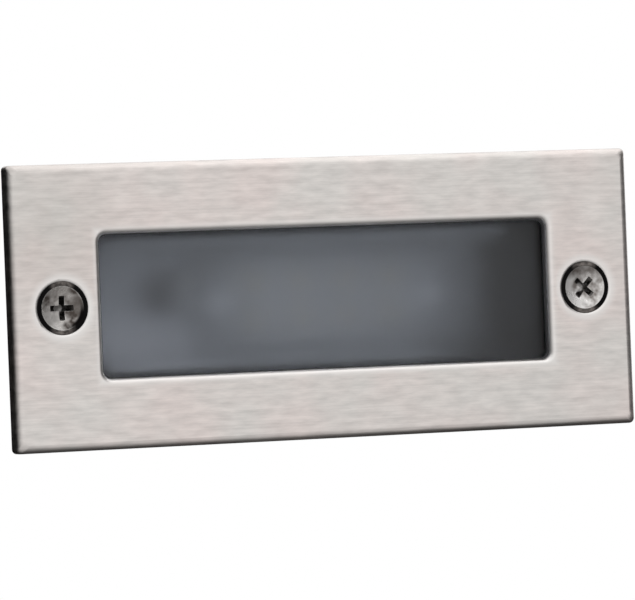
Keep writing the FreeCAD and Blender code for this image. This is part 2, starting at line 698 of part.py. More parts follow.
def terminal_clamps():
    """Brass tubes that take the leads, one to a pole."""
    tubes = []
    for z in pole_z:
        start = FreeCAD.Vector(terminal_left + CLAMP_INSET, clamp_y, z)
        length = TERMINAL_WIDTH - 2 * CLAMP_INSET
        tube = Part.makeCylinder(CLAMP_DIAMETER / 2, length, start, FreeCAD.Vector(1, 0, 0))
        tube = tube.cut(Part.makeCylinder(CLAMP_BORE / 2, length, start, FreeCAD.Vector(1, 0, 0)))
        wells = [rod(CLAMP_SCREW_DIAMETER / 2 + THREAD_FIT, clamp_y, clamp_y + CLAMP_DIAMETER, x, z)
                 for x in about(terminal_x, CLAMP_SCREW_SPACING)]
        tubes.append(tube.cut(wells))
    return Part.makeCompound(tubes)


def terminal_screws():
    """Slotted clamping screws, two to a pole, that press on the leads."""
    tip = clamp_y + MAINS_LEAD_DIAMETER / 2 + THREAD_FIT
    top = housing_back + TERMINAL_DEPTH - CLAMP_SCREW_SUNK
    screws = []
    for x, z in clamp_screw_places():
        shank = rod(CLAMP_SCREW_DIAMETER / 2, tip, top, x, z)
        slot = block(about(x, CLAMP_SCREW_DIAMETER + OVERSHOOT), (top - CLAMP_SCREW_SLOT, top + OVERSHOOT),
                     about(z, CLAMP_SCREW_SLOT))
        screws.append(shank.cut(slot))
    return Part.makeCompound(screws)


def terminal_fixings():
    """Two screws that hold the terminal block on the housing."""
    seat = housing_back + FIXING_SEAT_HEIGHT
    reach = FIXING_SEAT_HEIGHT + BLIND_HOLE_DEPTH - THREAD_FIT
    return Part.makeCompound([small_screw(terminal_x, z, seat, 1, reach) for z in fixing_z])


def earth_tag():
    """Ring tag with an upright barrel for the earth lead."""
    back = housing_back + EARTH_TAG_THICKNESS
    barrel_x = earth_x - EARTH_BARREL_OFFSET
    barrel_back = back + EARTH_BARREL_LENGTH
    tag = joined([
        rod(EARTH_TAG_WIDTH / 2, housing_back, back, earth_x, earth_z),
        block((barrel_x, earth_x), (housing_back, back), about(earth_z, EARTH_BARREL_DIAMETER)),
        rod(EARTH_BARREL_DIAMETER / 2, housing_back, barrel_back, barrel_x, earth_z),
    ])
    return tag.cut([
        rod(small_hole_radius, housing_back - OVERSHOOT, back + OVERSHOOT, earth_x, earth_z),
        rod(EARTH_BARREL_BORE / 2, back, barrel_back + OVERSHOOT, barrel_x, earth_z),
    ])


def earth_screw():
    """Screw that holds the earth tag on the housing."""
    seat = housing_back + EARTH_TAG_THICKNESS
    reach = EARTH_TAG_THICKNESS + BLIND_HOLE_DEPTH - THREAD_FIT
    return small_screw(earth_x, earth_z, seat, 1, reach)


def lead(points, diameter):
    """A round lead along straight runs joined by tangent arcs as large as the runs allow."""
    corners = [FreeCAD.Vector(*point) for point in points]
    edges = []
    start = corners[0]
    for before, corner, after in zip(corners, corners[1:], corners[2:]):
        run_in = corner - before
        run_out = after - corner
        shorter = min(run_in.Length, run_out.Length)
        turn = run_in.getAngle(run_out)
        reach = 0.45 * shorter
        radius = reach / math.tan(turn / 2)
        run_in.normalize()
        run_out.normalize()
        inward = run_out - run_in
        inward.normalize()
        arc_start = corner - run_in * reach
        arc_end = corner + run_out * reach
        arc_middle = corner + inward * (radius / math.cos(turn / 2) - radius)
        edges.append(Part.LineSegment(start, arc_start).toShape())
        edges.append(Part.Arc(arc_start, arc_middle, arc_end).toShape())
        start = arc_end
    edges.append(Part.LineSegment(start, corners[-1]).toShape())
    route = Part.Wire(edges)
    section = Part.Wire(Part.makeCircle(diameter / 2, corners[0], corners[1] - corners[0]))
    return route.makePipeShell([section], True, False)


def mains_lead(z, bend, end_rise, end_z):
    """A lead from the terminal's pole at height z to the end of the supply, over one chosen bend.

    The bend's first two places and the end's rise are measured from the pole's mouth."""
    start_x = terminal_right - MAINS_LEAD_GRIP
    end_y = clamp_y + end_rise
    return lead([
        (start_x, clamp_y, z), (start_x + MAINS_LEAD_STRAIGHT, clamp_y, z),
        (terminal_right + bend[0], clamp_y + bend[1], bend[2]),
        (driver_left - MAINS_LEAD_STRAIGHT, end_y, end_z), (driver_left, end_y, end_z),
    ], MAINS_LEAD_DIAMETER)


def live_lead():
    """From the terminal's upper pole to the supply."""
    return mains_lead(pole_z[2], (11.5, 2.6, 7.0), 3.6, 6.0)


def neutral_lead():
    """From the terminal's middle pole to the supply."""
    return mains_lead(pole_z[1], (11.2, 3.4, 0.5), 4.4, 1.5)


def earth_lead():
    """From the terminal's lower pole into the earth tag's barrel."""
    start_x = terminal_right - MAINS_LEAD_GRIP
    barrel_x = earth_x - EARTH_BARREL_OFFSET
    barrel_y = housing_back + EARTH_TAG_THICKNESS + EARTH_LEAD_SEAT
    return lead([
        (start_x, clamp_y, pole_z[0]), (terminal_right + 1.2, clamp_y, pole_z[0]),
        (terminal_right + 3.8, clamp_y + 3.8, pole_z[0] - 0.6), (barrel_x, clamp_y + 4.4, earth_z + 0.9),
        (barrel_x, clamp_y + 2.0, earth_z), (barrel_x, barrel_y, earth_z),
    ], MAINS_LEAD_DIAMETER)


def lamp_lead(side):
    """From the supply through the lead bush to one end of the lamp board."""
    height = LEAD_HOLE_HEIGHT + side * LAMP_LEAD_SPACING / 2
    outside = housing_back + LAMP_LEAD_REACH_OUTSIDE
    inside = chamber_floor - LAMP_LEAD_REACH_INSIDE
    solder_y = board_front - LAMP_LEAD_DIAMETER / 2
    return lead([
        (driver_left, outside, side * 4.4), (driver_left - 7.0, outside, side * 4.4),
        (lead_hole_x, outside + 0.3, height), (lead_hole_x, inside, height),
        (lead_hole_x + 4.5, inside - 0.4, LEAD_HOLE_HEIGHT + side * 2.6),
        (board_left + 1.8, solder_y, LEAD_HOLE_HEIGHT + side * 4.6),
    ], LAMP_LEAD_DIAMETER)


def lamp_lead_positive():
    """Upper lead of the lamp board."""
    return lamp_lead(1)


def lamp_lead_negative():
    """Lower lead of the lamp board."""
    return lamp_lead(-1)


def recess_box():
    """Moulded wall box: lip, deep body, a boss at each end, barbs, knock-outs and a rear cable entry."""
    parts = [
        rounded_block(lip_half, LIP_CORNER_RADIUS, lip_front, 0.0),
        box_body(),
    ]
    pocket_reach = screw_x + EAR_REACH + EAR_CLEARANCE
    pocket_height = EAR_HEIGHT + 2 * EAR_CLEARANCE
    for side in (-1, 1):
        boss_span = sorted((side * cavity_half[0], side * (pocket_reach + BOSS_OUTER_WALL)))
        boss = block(boss_span, (lip_front, boss_back), about(0.0, pocket_height + 2 * BOSS_OUTER_WALL))
        boss_end = [e for e in upright_edges(boss) if abs(e.BoundBox.XMin) > screw_x]
        boss = boss.makeFillet(EAR_CORNER_RADIUS, boss_end)
        parts.append(boss.cut(boss_relief(side, pocket_reach + BOSS_OUTER_WALL)))
    parts += box_barbs()
    body = joined(parts)
    cuts = [tapered_block(cavity_half, HOUSING_CORNER_RADIUS, lip_front - OVERSHOOT, cavity_back)]
    for side in (-1, 1):
        pocket_span = sorted((side * (cavity_half[0] - OVERSHOOT), side * pocket_reach))
        pocket = block(pocket_span, (lip_front - OVERSHOOT, ear_back), about(0.0, pocket_height))
        pocket_end = [e for e in upright_edges(pocket) if abs(e.BoundBox.XMin) > screw_x]
        cuts.append(pocket.makeFillet(EAR_CORNER_RADIUS, pocket_end))
        x = side * screw_x
        retainer_radius = RETAINER_DIAMETER / 2 + RETAINER_POCKET_CLEARANCE
        cuts.append(rod(retainer_radius, ear_front, retainer_back + RETAINER_POCKET_CLEARANCE, x))
        cuts.append(rod(INSERT_DIAMETER / 2, ear_front, insert_back, x))
        cuts.append(rod(INSERT_BORE / 2, ear_front, screw_hole_back, x))
    cuts.append(rod(ENTRY_HOLE_DIAMETER / 2, cavity_back - OVERSHOOT, box_back + OVERSHOOT,
                    lead_hole_x, ENTRY_HEIGHT))
    for x in about(0.0, FIXING_SPACING):
        cuts.append(rod(FIXING_HOLE_DIAMETER / 2, cavity_back - OVERSHOOT, box_back + OVERSHOOT, x))
    cuts += box_knockouts()
    return body.cut(cuts)


def boss_relief(side, reach):
    """The wedge that slants the rear of a boss's outer end, at the box's left or right side."""
    outline = [(reach, boss_back - BOSS_CHAMFER_DEPTH), (reach, boss_back),
               (reach - BOSS_CHAMFER_WIDTH, boss_back)]
    corners = [FreeCAD.Vector(side * x, y, -EAR_HEIGHT) for x, y in outline]
    return Part.Face(Part.makePolygon(corners + corners[:1])).extrude(FreeCAD.Vector(0, 0, 2 * EAR_HEIGHT))


def tapered_block(half, radius, front, back):
    """A rounded block whose two ends draw in behind the lamp housing, as the box and its cavity do."""
    slope = BOX_END_TAPER / (box_back - taper_front)
    drawn_half = (half[0] - slope * (back - taper_front), half[1])
    sections = [outline_at(half, radius, taper_front), outline_at(drawn_half, radius, back)]
    return joined([rounded_block(half, radius, front, taper_front), Part.makeLoft(sections, True, True)])


def box_body():
    """The outer block of the box, with its rear edges rounded."""
    body = tapered_block(box_half, BOX_CORNER_RADIUS, lip_front, box_back)
    return body.makeFillet(BOX_BACK_EDGE_RADIUS, edges_at(body, box_back))


def box_barbs():
    """Ramped ribs on the box's top and bottom that key it into the wall."""
    barbs = []
    sunk = BOX_WALL / 2
    for row in range(BARB_ROWS):
        front = BARB_FIRST_DEPTH + row * BARB_PITCH
        for side in (-1, 1):
            root = side * (box_half[1] - sunk)
            crest = side * (box_half[1] + BARB_HEIGHT)
            face = side * box_half[1]
            for x in about(0.0, BARB_SPACING):
                start = x - BARB_LENGTH / 2
                back = front + BARB_RAMP
                outline = [(front, root), (front, crest), (back, face), (back, root)]
                corners = [FreeCAD.Vector(start, y, z) for y, z in outline]
                wedge = Part.Face(Part.makePolygon(corners + corners[:1]))
                barbs.append(wedge.extrude(FreeCAD.Vector(BARB_LENGTH, 0, 0)))
    return barbs


def box_knockouts():
    """Round scored grooves in the box's top and bottom, where another cable can be let in."""
    depth = BARB_FIRST_DEPTH + BARB_PITCH * (BARB_ROWS - 1) / 2
    grooves = []
    for side in (-1, 1):
        floor = side * (box_half[1] - KNOCKOUT_SCORE_DEPTH)
        base = FreeCAD.Vector(0, depth, floor)
        outward = FreeCAD.Vector(0, 0, side)
        disc = Part.makeCylinder(KNOCKOUT_DIAMETER / 2, BOX_WALL, base, outward)
        core = Part.makeCylinder(KNOCKOUT_DIAMETER / 2 - KNOCKOUT_GROOVE, BOX_WALL, base, outward)
        grooves.append(disc.cut(core))
    return grooves


def threaded_inserts():
    """Brass inserts in the box's bosses, each with a grip groove."""
    bore = INSERT_BORE / 2
    outer = INSERT_DIAMETER / 2
    groove = outer - INSERT_GROOVE
    third = INSERT_LENGTH / 3
    inserts = []
    for x in screw_sides():
        inserts.append(turned([
            (bore, insert_front), (outer, insert_front), (outer, insert_front + third),
            (groove, insert_front + third), (groove, insert_back - third), (outer, insert_back - third),
            (outer, insert_back), (bore, insert_back)], x))
    return Part.makeCompound(inserts)


def cable_grommet():
    """Rubber cable entry: a flange each side of the rear wall and a tapered nozzle outside."""
    bore = ENTRY_BORE / 2
    neck = ENTRY_HOLE_DIAMETER / 2
    flange = ENTRY_FLANGE_DIAMETER / 2
    front = cavity_back - ENTRY_INNER_FLANGE
    flange_back = box_back + ENTRY_OUTER_FLANGE
    nozzle_back = flange_back + ENTRY_NOZZLE_LENGTH
    return turned([
        (bore, front), (neck, front), (flange, cavity_back), (neck, cavity_back), (neck, box_back),
        (flange, box_back), (flange, flange_back), (neck, flange_back),
        (bore + ENTRY_NOZZLE_WALL, nozzle_back), (bore, nozzle_back)],
        lead_hole_x, ENTRY_HEIGHT)


def retaining_washers():
    """Push-on washers behind the ears that keep the screws captive."""
    inner = SCREW_WAIST_DIAMETER / 2 + RETAINER_CLEARANCE
    return Part.makeCompound([
        ring(RETAINER_DIAMETER / 2, inner, ear_back, retainer_back, x) for x in screw_sides()])


def cone_depth(radius, gap):
    """Depth at which a cone inside the dimple, held off it by a gap, has a radius."""
    return plate_front + dimple_radius - radius - gap * math.sqrt(2.0)


def screw_seal(x):
    """Conical sealing washer between the dimple and the screw's head."""
    front = plate_front + SEAL_WASHER_SETBACK
    back = cone_depth(DIMPLE_HOLE_DIAMETER / 2, CONE_FIT)
    outer_front = DIMPLE_DIAMETER / 2 - SEAL_WASHER_SETBACK - CONE_FIT * math.sqrt(2.0)
    inner_front = outer_front - SEAL_WASHER_THICKNESS * math.sqrt(2.0)
    inner_back = inner_front - (back - front)
    outer_back = outer_front - (back - front)
    return turned([(inner_front, front), (outer_front, front), (outer_back, back), (inner_back, back)], x)


def screw(x, angle):
    """Captive countersunk screw with a dished face, a thin waist, a thread of rings and a cross recess."""
    head = SCREW_HEAD_DIAMETER / 2
    waist = SCREW_WAIST_DIAMETER / 2
    crest = SCREW_THREAD_DIAMETER / 2
    root = crest - SCREW_THREAD_DEPTH
    gap = 2 * CONE_FIT + SEAL_WASHER_THICKNESS
    edge = cone_depth(head, gap)
    bottom = edge + SCREW_HEAD_DISH
    sphere = (head ** 2 + SCREW_HEAD_DISH ** 2) / (2 * SCREW_HEAD_DISH)
    half_angle = math.asin(head / sphere) / 2
    halfway = FreeCAD.Vector(sphere * math.sin(half_angle), bottom - sphere * (1 - math.cos(half_angle)), 0)
    profile = [(head, edge), (waist, cone_depth(waist, gap)), (waist, thread_front)]
    turns = int((thread_back - thread_front) / SCREW_PITCH)
    for turn in range(turns):
        start = thread_front + turn * SCREW_PITCH
        profile.append((root, start))
        profile.append((crest, start + SCREW_PITCH / 2))
    end = thread_front + turns * SCREW_PITCH
    profile += [(root, end), (root, thread_back), (root - SCREW_TIP_CHAMFER, screw_tip), (0.0, screw_tip)]
    corners = [FreeCAD.Vector(radius, y, 0) for radius, y in profile]
    middle = FreeCAD.Vector(0, bottom, 0)
    edges = [Part.Arc(middle, halfway, corners[0]).toShape()]
    edges += Part.makePolygon(corners + [middle]).Edges
    return spun(edges, x, 0.0).cut(cross_recess(x, bottom, angle))


def cross_recess(x, face, angle):
    """Tapered cross that is sunk into a screw's head."""
    top = face - OVERSHOOT
    floor = face + CROSS_DEPTH
    arm = CROSS_LENGTH / 2
    wings = joined([
        block(about(0.0, CROSS_LENGTH), (top, floor), about(0.0, CROSS_WIDTH)),
        block(about(0.0, CROSS_WIDTH), (top, floor), about(0.0, CROSS_LENGTH)),
    ])
    cone = turned([(0.0, top), (arm, top), (arm, face), (CROSS_TIP_DIAMETER / 2, floor), (0.0, floor)])
    cross = wings.common(cone)
    cross.rotate(FreeCAD.Vector(0, 0, 0), FreeCAD.Vector(0, 1, 0), angle)
    cross.translate(FreeCAD.Vector(x, 0, 0))
    return cross


def screw_left():
    """Screw at the viewer's left."""
    return screw(-screw_x, LEFT_SCREW_ANGLE)


def screw_right():
    """Screw at the viewer's right."""
    return screw(screw_x, RIGHT_SCREW_ANGLE)


def screw_seal_left():
    """Seal under the left screw's head."""
    return screw_seal(-screw_x)


def screw_seal_right():
    """Seal under the right screw's head."""
    return screw_seal(screw_x)


PIECES = (
    recess_box, threaded_inserts, cable_grommet,
    face_plate, face_gasket, lens_glass, lens_seal, lamp_housing, retaining_washers,
    reflector, led_board, led_emitters, thermal_pad, board_screws, lead_grommet,
    driver_case, driver_lid, driver_board, driver_transformer, driver_capacitors, driver_screws,
    terminal_block, terminal_clamps, terminal_screws, terminal_fixings, earth_tag, earth_screw,
    live_lead, neutral_lead, earth_lead, lamp_lead_positive, lamp_lead_negative,
    screw_left, screw_seal_left, screw_right, screw_seal_right,
)

os.makedirs("parts", exist_ok=True)
for piece in PIECES:
    piece().exportStep("parts/" + piece.__name__ + ".step")
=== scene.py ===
"""Looks of a recessed step light: a brushed steel face with a frosted window, two captive screws
and a wall box behind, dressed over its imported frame, in metres."""

import json
import math

import bpy
from mathutils import Matrix, Vector


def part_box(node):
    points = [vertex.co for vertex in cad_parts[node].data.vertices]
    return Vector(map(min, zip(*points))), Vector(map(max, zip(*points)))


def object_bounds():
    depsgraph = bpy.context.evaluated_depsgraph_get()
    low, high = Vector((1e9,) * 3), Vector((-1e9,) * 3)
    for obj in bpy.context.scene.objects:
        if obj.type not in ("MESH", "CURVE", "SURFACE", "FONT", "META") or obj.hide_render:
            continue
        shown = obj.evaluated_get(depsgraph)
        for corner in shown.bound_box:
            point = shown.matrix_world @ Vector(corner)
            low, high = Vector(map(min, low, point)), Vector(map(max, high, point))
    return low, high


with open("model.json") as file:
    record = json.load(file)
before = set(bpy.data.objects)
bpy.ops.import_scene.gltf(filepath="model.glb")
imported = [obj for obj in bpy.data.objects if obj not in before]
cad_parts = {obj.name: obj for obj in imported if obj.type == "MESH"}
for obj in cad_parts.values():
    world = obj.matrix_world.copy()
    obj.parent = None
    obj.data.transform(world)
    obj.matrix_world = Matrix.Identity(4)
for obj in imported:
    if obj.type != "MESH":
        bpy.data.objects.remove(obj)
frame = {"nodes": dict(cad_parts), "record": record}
cad_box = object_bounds()

MILLIMETRE = 0.001
WHITE = (1.0, 1.0, 1.0, 1.0)

# Places on the light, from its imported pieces
FACE_MIDDLE = Vector((0.0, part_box("face_plate")[0].y, 0.0))
LENS_HALF_WIDTH, LENS_BACK, LENS_HALF_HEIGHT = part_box("lens_glass")[1]
LENS_OVERLAP = 1.4 * MILLIMETRE
WINDOW_HALF_WIDTH = LENS_HALF_WIDTH - LENS_OVERLAP
WINDOW_HALF_HEIGHT = LENS_HALF_HEIGHT - LENS_OVERLAP
screw_low, screw_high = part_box("screw_right")
SCREW_X = (screw_low.x + screw_high.x) / 2
HEAD_FRONT = screw_low.y


# Camera: a long lens a little left of the face, turned and rolled
FRAME_WIDTH_PIXELS = 635.0
FOCAL_PIXELS = 5000.0
SENSOR_WIDTH = 36.0
CLIP_NEAR = 0.01
CLIP_FAR = 20.0
VIEW_YAW = math.radians(22.286)
VIEW_PITCH = math.radians(0.13)
VIEW_ROLL = math.radians(2.268)
VIEW_OFFSET = Vector((0.00228, 0.93779, 0.00048))


def make_camera():
    """Camera at the photograph's viewing angle."""
    turn = Matrix.Rotation(-VIEW_ROLL, 3, "Y") @ Matrix.Rotation(VIEW_PITCH, 3, "X")
    turn = turn @ Matrix.Rotation(VIEW_YAW, 3, "Z")
    back = turn.transposed()
    data = bpy.data.cameras.new("photo_camera")
    data.sensor_width = SENSOR_WIDTH
    data.lens = FOCAL_PIXELS * SENSOR_WIDTH / FRAME_WIDTH_PIXELS
    data.clip_start = CLIP_NEAR
    data.clip_end = CLIP_FAR
    camera = bpy.data.objects.new("photo_camera", data)
    place = (back @ Matrix.Rotation(math.pi / 2, 3, "X")).to_4x4()
    place.translation = FACE_MIDDLE - back @ VIEW_OFFSET
    camera.matrix_world = place
    bpy.context.scene.collection.objects.link(camera)
    bpy.context.scene.camera = camera


# Node tools


def set_sockets(tree, node, sockets):
    """Sets a node's plain numbers and links its other inputs."""
    for label, value in sockets.items():
        if isinstance(value, bpy.types.NodeSocket):
            tree.links.new(value, node.inputs[label])
        else:
            node.inputs[label].default_value = value


def add(tree, kind, sockets=None, **settings):
    """A shader node of a kind, with its settings and inputs."""
    node = tree.nodes.new("ShaderNode" + kind)
    for name, value in settings.items():
        setattr(node, name, value)
    set_sockets(tree, node, sockets or {})
    return node


def calc(tree, operation, *values):
    """The result of one step of arithmetic."""
    return add(tree, "Math", dict(enumerate(values)), operation=operation).outputs["Value"]


def product(tree, first, *others):
    """Values multiplied with each other."""
    for other in others:
        first = calc(tree, "MULTIPLY", first, other)
    return first


def weighed(tree, first, second, share):
    """Two values added up, the first with its share and the second with the rest."""
    rest = 1.0 - share
    return calc(tree, "ADD", product(tree, first, share), product(tree, second, rest))


def spread(tree, value, low, high, start=0.0, end=1.0, curve="LINEAR"):
    """A value between start and end, carried to low and high and held there."""
    limits = {"Value": value, "From Min": start, "From Max": end, "To Min": low, "To Max": high}
    return add(tree, "MapRange", limits, interpolation_type=curve).outputs["Result"]


def step(tree, value, start, end):
    """0 before the start and 1 after the end, with a straight rise between them."""
    return spread(tree, value, 0.0, 1.0, start, end)


def soft_step(tree, value, start, end):
    """0 before the start and 1 after the end, with an eased rise between them."""
    return spread(tree, value, 0.0, 1.0, start, end, "SMOOTHSTEP")


def soft_fade(tree, value, depth, start, end):
    """A depth before the start and 0 after the end, with an eased fall between them."""
    return spread(tree, value, depth, 0.0, start, end, "SMOOTHSTEP")


def tint(tree, share, first, second):
    """The first colour where a share is 0 and the second where it is 1."""
    return add(tree, "Mix", {0: share, 6: first, 7: second}, data_type="RGBA").outputs[2]


def between(tree, share, first, second):
    """The first value where a share is 0 and the second where it is 1."""
    return add(tree, "Mix", {0: share, 2: first, 3: second}, data_type="FLOAT").outputs[0]


def noise(tree, vector, scale, detail=2.0):
    """Cloudy noise between 0 and 1."""
    sockets = {"Vector": vector, "Scale": scale, "Detail": detail}
    return add(tree, "TexNoise", sockets).outputs["Fac"]


def split(tree, vector):
    """The x, y and z of a vector."""
    return add(tree, "SeparateXYZ", {"Vector": vector}).outputs


def place_on_piece(tree):
    """The place on the piece itself, in metres, as one vector."""
    return add(tree, "TexCoord").outputs["Object"]


def coordinates(tree):
    """The place on the piece itself, in metres, as x, y and z."""
    return split(tree, place_on_piece(tree))


def straight_normal(tree):
    """The surface's own normal, as one vector."""
    return add(tree, "NewGeometry").outputs["Normal"]


def facing(tree):
    """The surface's own normal, as x, y and z."""
    return split(tree, straight_normal(tree))


def distance(tree, across, up, at_across, at_up):
    """Distance from a point, measured on two coordinates alone."""
    across = calc(tree, "SUBTRACT", across, at_across)
    up = calc(tree, "SUBTRACT", up, at_up)
    squares = calc(tree, "ADD", product(tree, across, across), product(tree, up, up))
    return calc(tree, "SQRT", squares)


def from_nearer_screw(tree, x, z):
    """Distance from the axis of the screw on the same half of the plate."""
    return distance(tree, calc(tree, "ABSOLUTE", x), z, SCREW_X, 0.0)


def effect(name, inputs, outputs, build):
    """A node group with named inputs at their usual values, filled in by a build function."""
    tree = bpy.data.node_groups.new(name, "ShaderNodeTree")
    for label, value in inputs.items():
        socket = tree.interface.new_socket(label, in_out="INPUT", socket_type="NodeSocketFloat")
        socket.default_value = value
    for label in outputs:
        kind = "NodeSocketVector" if label == "Normal" else "NodeSocketFloat"
        tree.interface.new_socket(label, in_out="OUTPUT", socket_type=kind)
    given = tree.nodes.new("NodeGroupInput").outputs
    made = dict(zip(outputs, build(tree, given)))
    set_sockets(tree, tree.nodes.new("NodeGroupOutput"), made)
    return tree


def place_effect(tree, group, **values):
    """One of the shared effects in a material, with its own values."""
    node = tree.nodes.new("ShaderNodeGroup")
    node.node_tree = group
    set_sockets(tree, node, {label.replace("_", " "): value for label, value in values.items()})
    return node.outputs


# Shared effects: spans of slope, turn or noise over which each one comes up, and scales of their noise
LEVEL_SLOPE = (0.6, 0.8)
LINE_SPAN = (0.3, 0.7)
PATCH_SPAN = (0.35, 0.65)
GRAIN_SPAN = (0.3, 0.7)
COARSE_GRAIN_SHARE = 0.65
FINE_GRAIN_RATIO = 2.7
EDGE_TURN = (0.995, 0.8)
EDGE_BREAK_SCALE = 900.0
EDGE_BREAK_SPAN = (0.35, 0.6)
EDGE_LEAST_WEAR = 0.25
DUST_SLOPE = (0.45, 0.95)
DUST_FILM_SCALE = 160.0
DUST_FILM_SPAN = (0.4, 0.75)
DUST_FILM_SHARE = 0.3
DUST_SPECK_SCALE = 2600.0
DUST_SPECK_SPAN = (0.62, 0.7)
DUST_SPECK_SHARE = 0.5


def build_hairlines(tree, given):
    """Brushing along X: on a level face the lines are stacked along Y, elsewhere along Z."""
    x, y, z = coordinates(tree)
    level = step(tree, calc(tree, "ABSOLUTE", facing(tree)["Z"]), *LEVEL_SLOPE)
    along = calc(tree, "DIVIDE", x, given["Line Length"])
    across = calc(tree, "DIVIDE", between(tree, level, z, y), given["Line Width"])
    wander = calc(tree, "DIVIDE", y, given["Line Length"])
    lines = add(tree, "CombineXYZ", {"X": along, "Y": wander, "Z": across}).outputs["Vector"]
    return [step(tree, noise(tree, lines, scale=1.0, detail=3.0), *LINE_SPAN)]


def build_patches(tree, given):
    """Broad soft patches where a surface is a shade lighter or warmer."""
    scale = calc(tree, "DIVIDE", 1.0, given["Patch Size"])
    return [step(tree, noise(tree, place_on_piece(tree), scale), *PATCH_SPAN)]


def build_skin(tree, given):
    """Fine even grain of a moulded, cast or blasted skin."""
    vector = place_on_piece(tree)
    scale = calc(tree, "DIVIDE", 1.0, given["Grain Size"])
    coarse = noise(tree, vector, scale, detail=3.0)
    fine = noise(tree, vector, product(tree, scale, FINE_GRAIN_RATIO), detail=1.0)
    return [step(tree, weighed(tree, coarse, fine, COARSE_GRAIN_SHARE), *GRAIN_SPAN)]


def build_edges(tree, given):
    """Edges that hands and tools have rubbed, broken up so that they aren't even lines, and their round."""
    rounded = add(tree, "Bevel", {"Radius": given["Edge Width"]}, samples=4).outputs["Normal"]
    normals = {0: rounded, 1: straight_normal(tree)}
    turn = add(tree, "VectorMath", normals, operation="DOT_PRODUCT").outputs["Value"]
    edge = step(tree, turn, *EDGE_TURN)
    cloud = noise(tree, place_on_piece(tree), EDGE_BREAK_SCALE, detail=3.0)
    breaks = spread(tree, cloud, EDGE_LEAST_WEAR, 1.0, *EDGE_BREAK_SPAN)
    return [product(tree, edge, breaks), rounded]


def build_dust(tree, given):
    """Dust that has settled on what faces up, in specks and a thin film."""
    vector = place_on_piece(tree)
    up = step(tree, facing(tree)["Z"], *DUST_SLOPE)
    layer = step(tree, noise(tree, vector, DUST_FILM_SCALE, detail=4.0), *DUST_FILM_SPAN)
    specks = step(tree, noise(tree, vector, DUST_SPECK_SCALE, detail=1.0), *DUST_SPECK_SPAN)
    layer = product(tree, layer, DUST_FILM_SHARE)
    specks = product(tree, specks, DUST_SPECK_SHARE)
    return [product(tree, up, calc(tree, "MAXIMUM", layer, specks), given["Amount"])]


HAIRLINES = effect("hairlines", {"Line Length": 0.01, "Line Width": 0.0002}, ["Lines"], build_hairlines)
PATCHES = effect("patches", {"Patch Size": 0.02}, ["Tone"], build_patches)
SKIN = effect("moulded_skin", {"Grain Size": 0.0005}, ["Grain"], build_skin)
RUBBED_EDGES = effect("rubbed_edges", {"Edge Width": 0.0003}, ["Wear", "Normal"], build_edges)
SETTLED_DUST = effect("settled_dust", {"Amount": 0.5}, ["Dust"], build_dust)


# Finishes


def finish(name, **plain):
    """A material with one shader whose unchanging sockets are set."""
    material = bpy.data.materials.new(name)
    material.use_nodes = True
    tree = material.node_tree
    shader = tree.nodes["Principled BSDF"]
    set_sockets(tree, shader, {label.replace("_", " "): value for label, value in plain.items()})
    return material, tree, shader


def bumped(tree, height, depth, **base):
    """A normal raised by a height of 0 to 1 times a depth in metres, over a base normal if one is given."""
    return add(tree, "Bump", {"Height": height, "Distance": depth, **base}).outputs["Normal"]


# Family of cast, moulded and rubber finishes
SKIN_EDGE_WIDTH = 0.3 * MILLIMETRE
SKIN_TONE_SHARE = 0.6
SKIN_WEAR_SHARE = 0.7
DUST_TONE = (0.42, 0.40, 0.37, 1.0)
DUST_DULLNESS = 0.2


def skinned(name, dark, light, worn, rough, grain, depth, dust=0.4, patch=12 * MILLIMETRE, **plain):
    """A finish of two tones in patches and a grain of a size and depth, with rubbed edges and dust."""
    material, tree, shader = finish(name, **plain)
    tone = place_effect(tree, PATCHES, Patch_Size=patch)["Tone"]
    grains = place_effect(tree, SKIN, Grain_Size=grain)["Grain"]
    edges = place_effect(tree, RUBBED_EDGES, Edge_Width=SKIN_EDGE_WIDTH)
    dusty = place_effect(tree, SETTLED_DUST, Amount=dust)["Dust"]
    colour = tint(tree, weighed(tree, tone, grains, SKIN_TONE_SHARE), dark, light)
    colour = tint(tree, product(tree, edges["Wear"], SKIN_WEAR_SHARE), colour, worn)
    colour = tint(tree, dusty, colour, DUST_TONE)
    dull = calc(tree, "ADD", spread(tree, grains, *rough), product(tree, dusty, DUST_DULLNESS))
    set_sockets(tree, shader, {
        "Base Color": colour, "Roughness": dull,
        "Normal": bumped(tree, grains, depth, Normal=edges["Normal"])})
    return material


def marked(material, mask, colour):
    """A finish with a mark of another colour where a mask, made by a function, is 1."""
    tree = material.node_tree
    base = tree.nodes["Principled BSDF"].inputs["Base Color"]
    under = base.links[0].from_socket
    tree.links.new(tint(tree, mask(tree), under, colour), base)
    return material


# Face plate: strokes and hairs of its brushing, painted shade at the left top, and painted highlight round
# the window and the dimples
STROKE_LENGTH = 4.8 * MILLIMETRE
STROKE_WIDTH = 1.2 * MILLIMETRE
STROKE_SHARE = 0.75
HAIR_LENGTH = 30 * MILLIMETRE
HAIR_WIDTH = 0.22 * MILLIMETRE
HAIR_DEPTH = 0.006 * MILLIMETRE
PLATE_PATCH = 16 * MILLIMETRE
PLATE_WORN_WIDTH = 0.22 * MILLIMETRE
PLATE_ROUGHNESS = (0.30, 0.42)
COOL_STEEL = ((0.574, 0.552, 0.529, 1.0), (0.836, 0.800, 0.767, 1.0))
WARM_STEEL = ((0.606, 0.545, 0.522, 1.0), (0.869, 0.785, 0.752, 1.0))
# Painted shade on the plate's left top, a soft round patch above the left screw
PLATE_SHADE_TONE = (0.30, 0.26, 0.22, 1.0)
PLATE_SHADE_PLACE = (-54 * MILLIMETRE, 13 * MILLIMETRE)
PLATE_SHADE_REACH = 22 * MILLIMETRE
PLATE_SHADE_DEPTH = 0.16
# One pale tone for the rubbed edges and for the painted highlight round the window and the dimples
WEAR_AND_HIGHLIGHT_TONE = (0.88, 0.86, 0.84, 1.0)
HIGHLIGHT_REACH = 2.0 * MILLIMETRE
HIGHLIGHT_DEPTH = 0.75
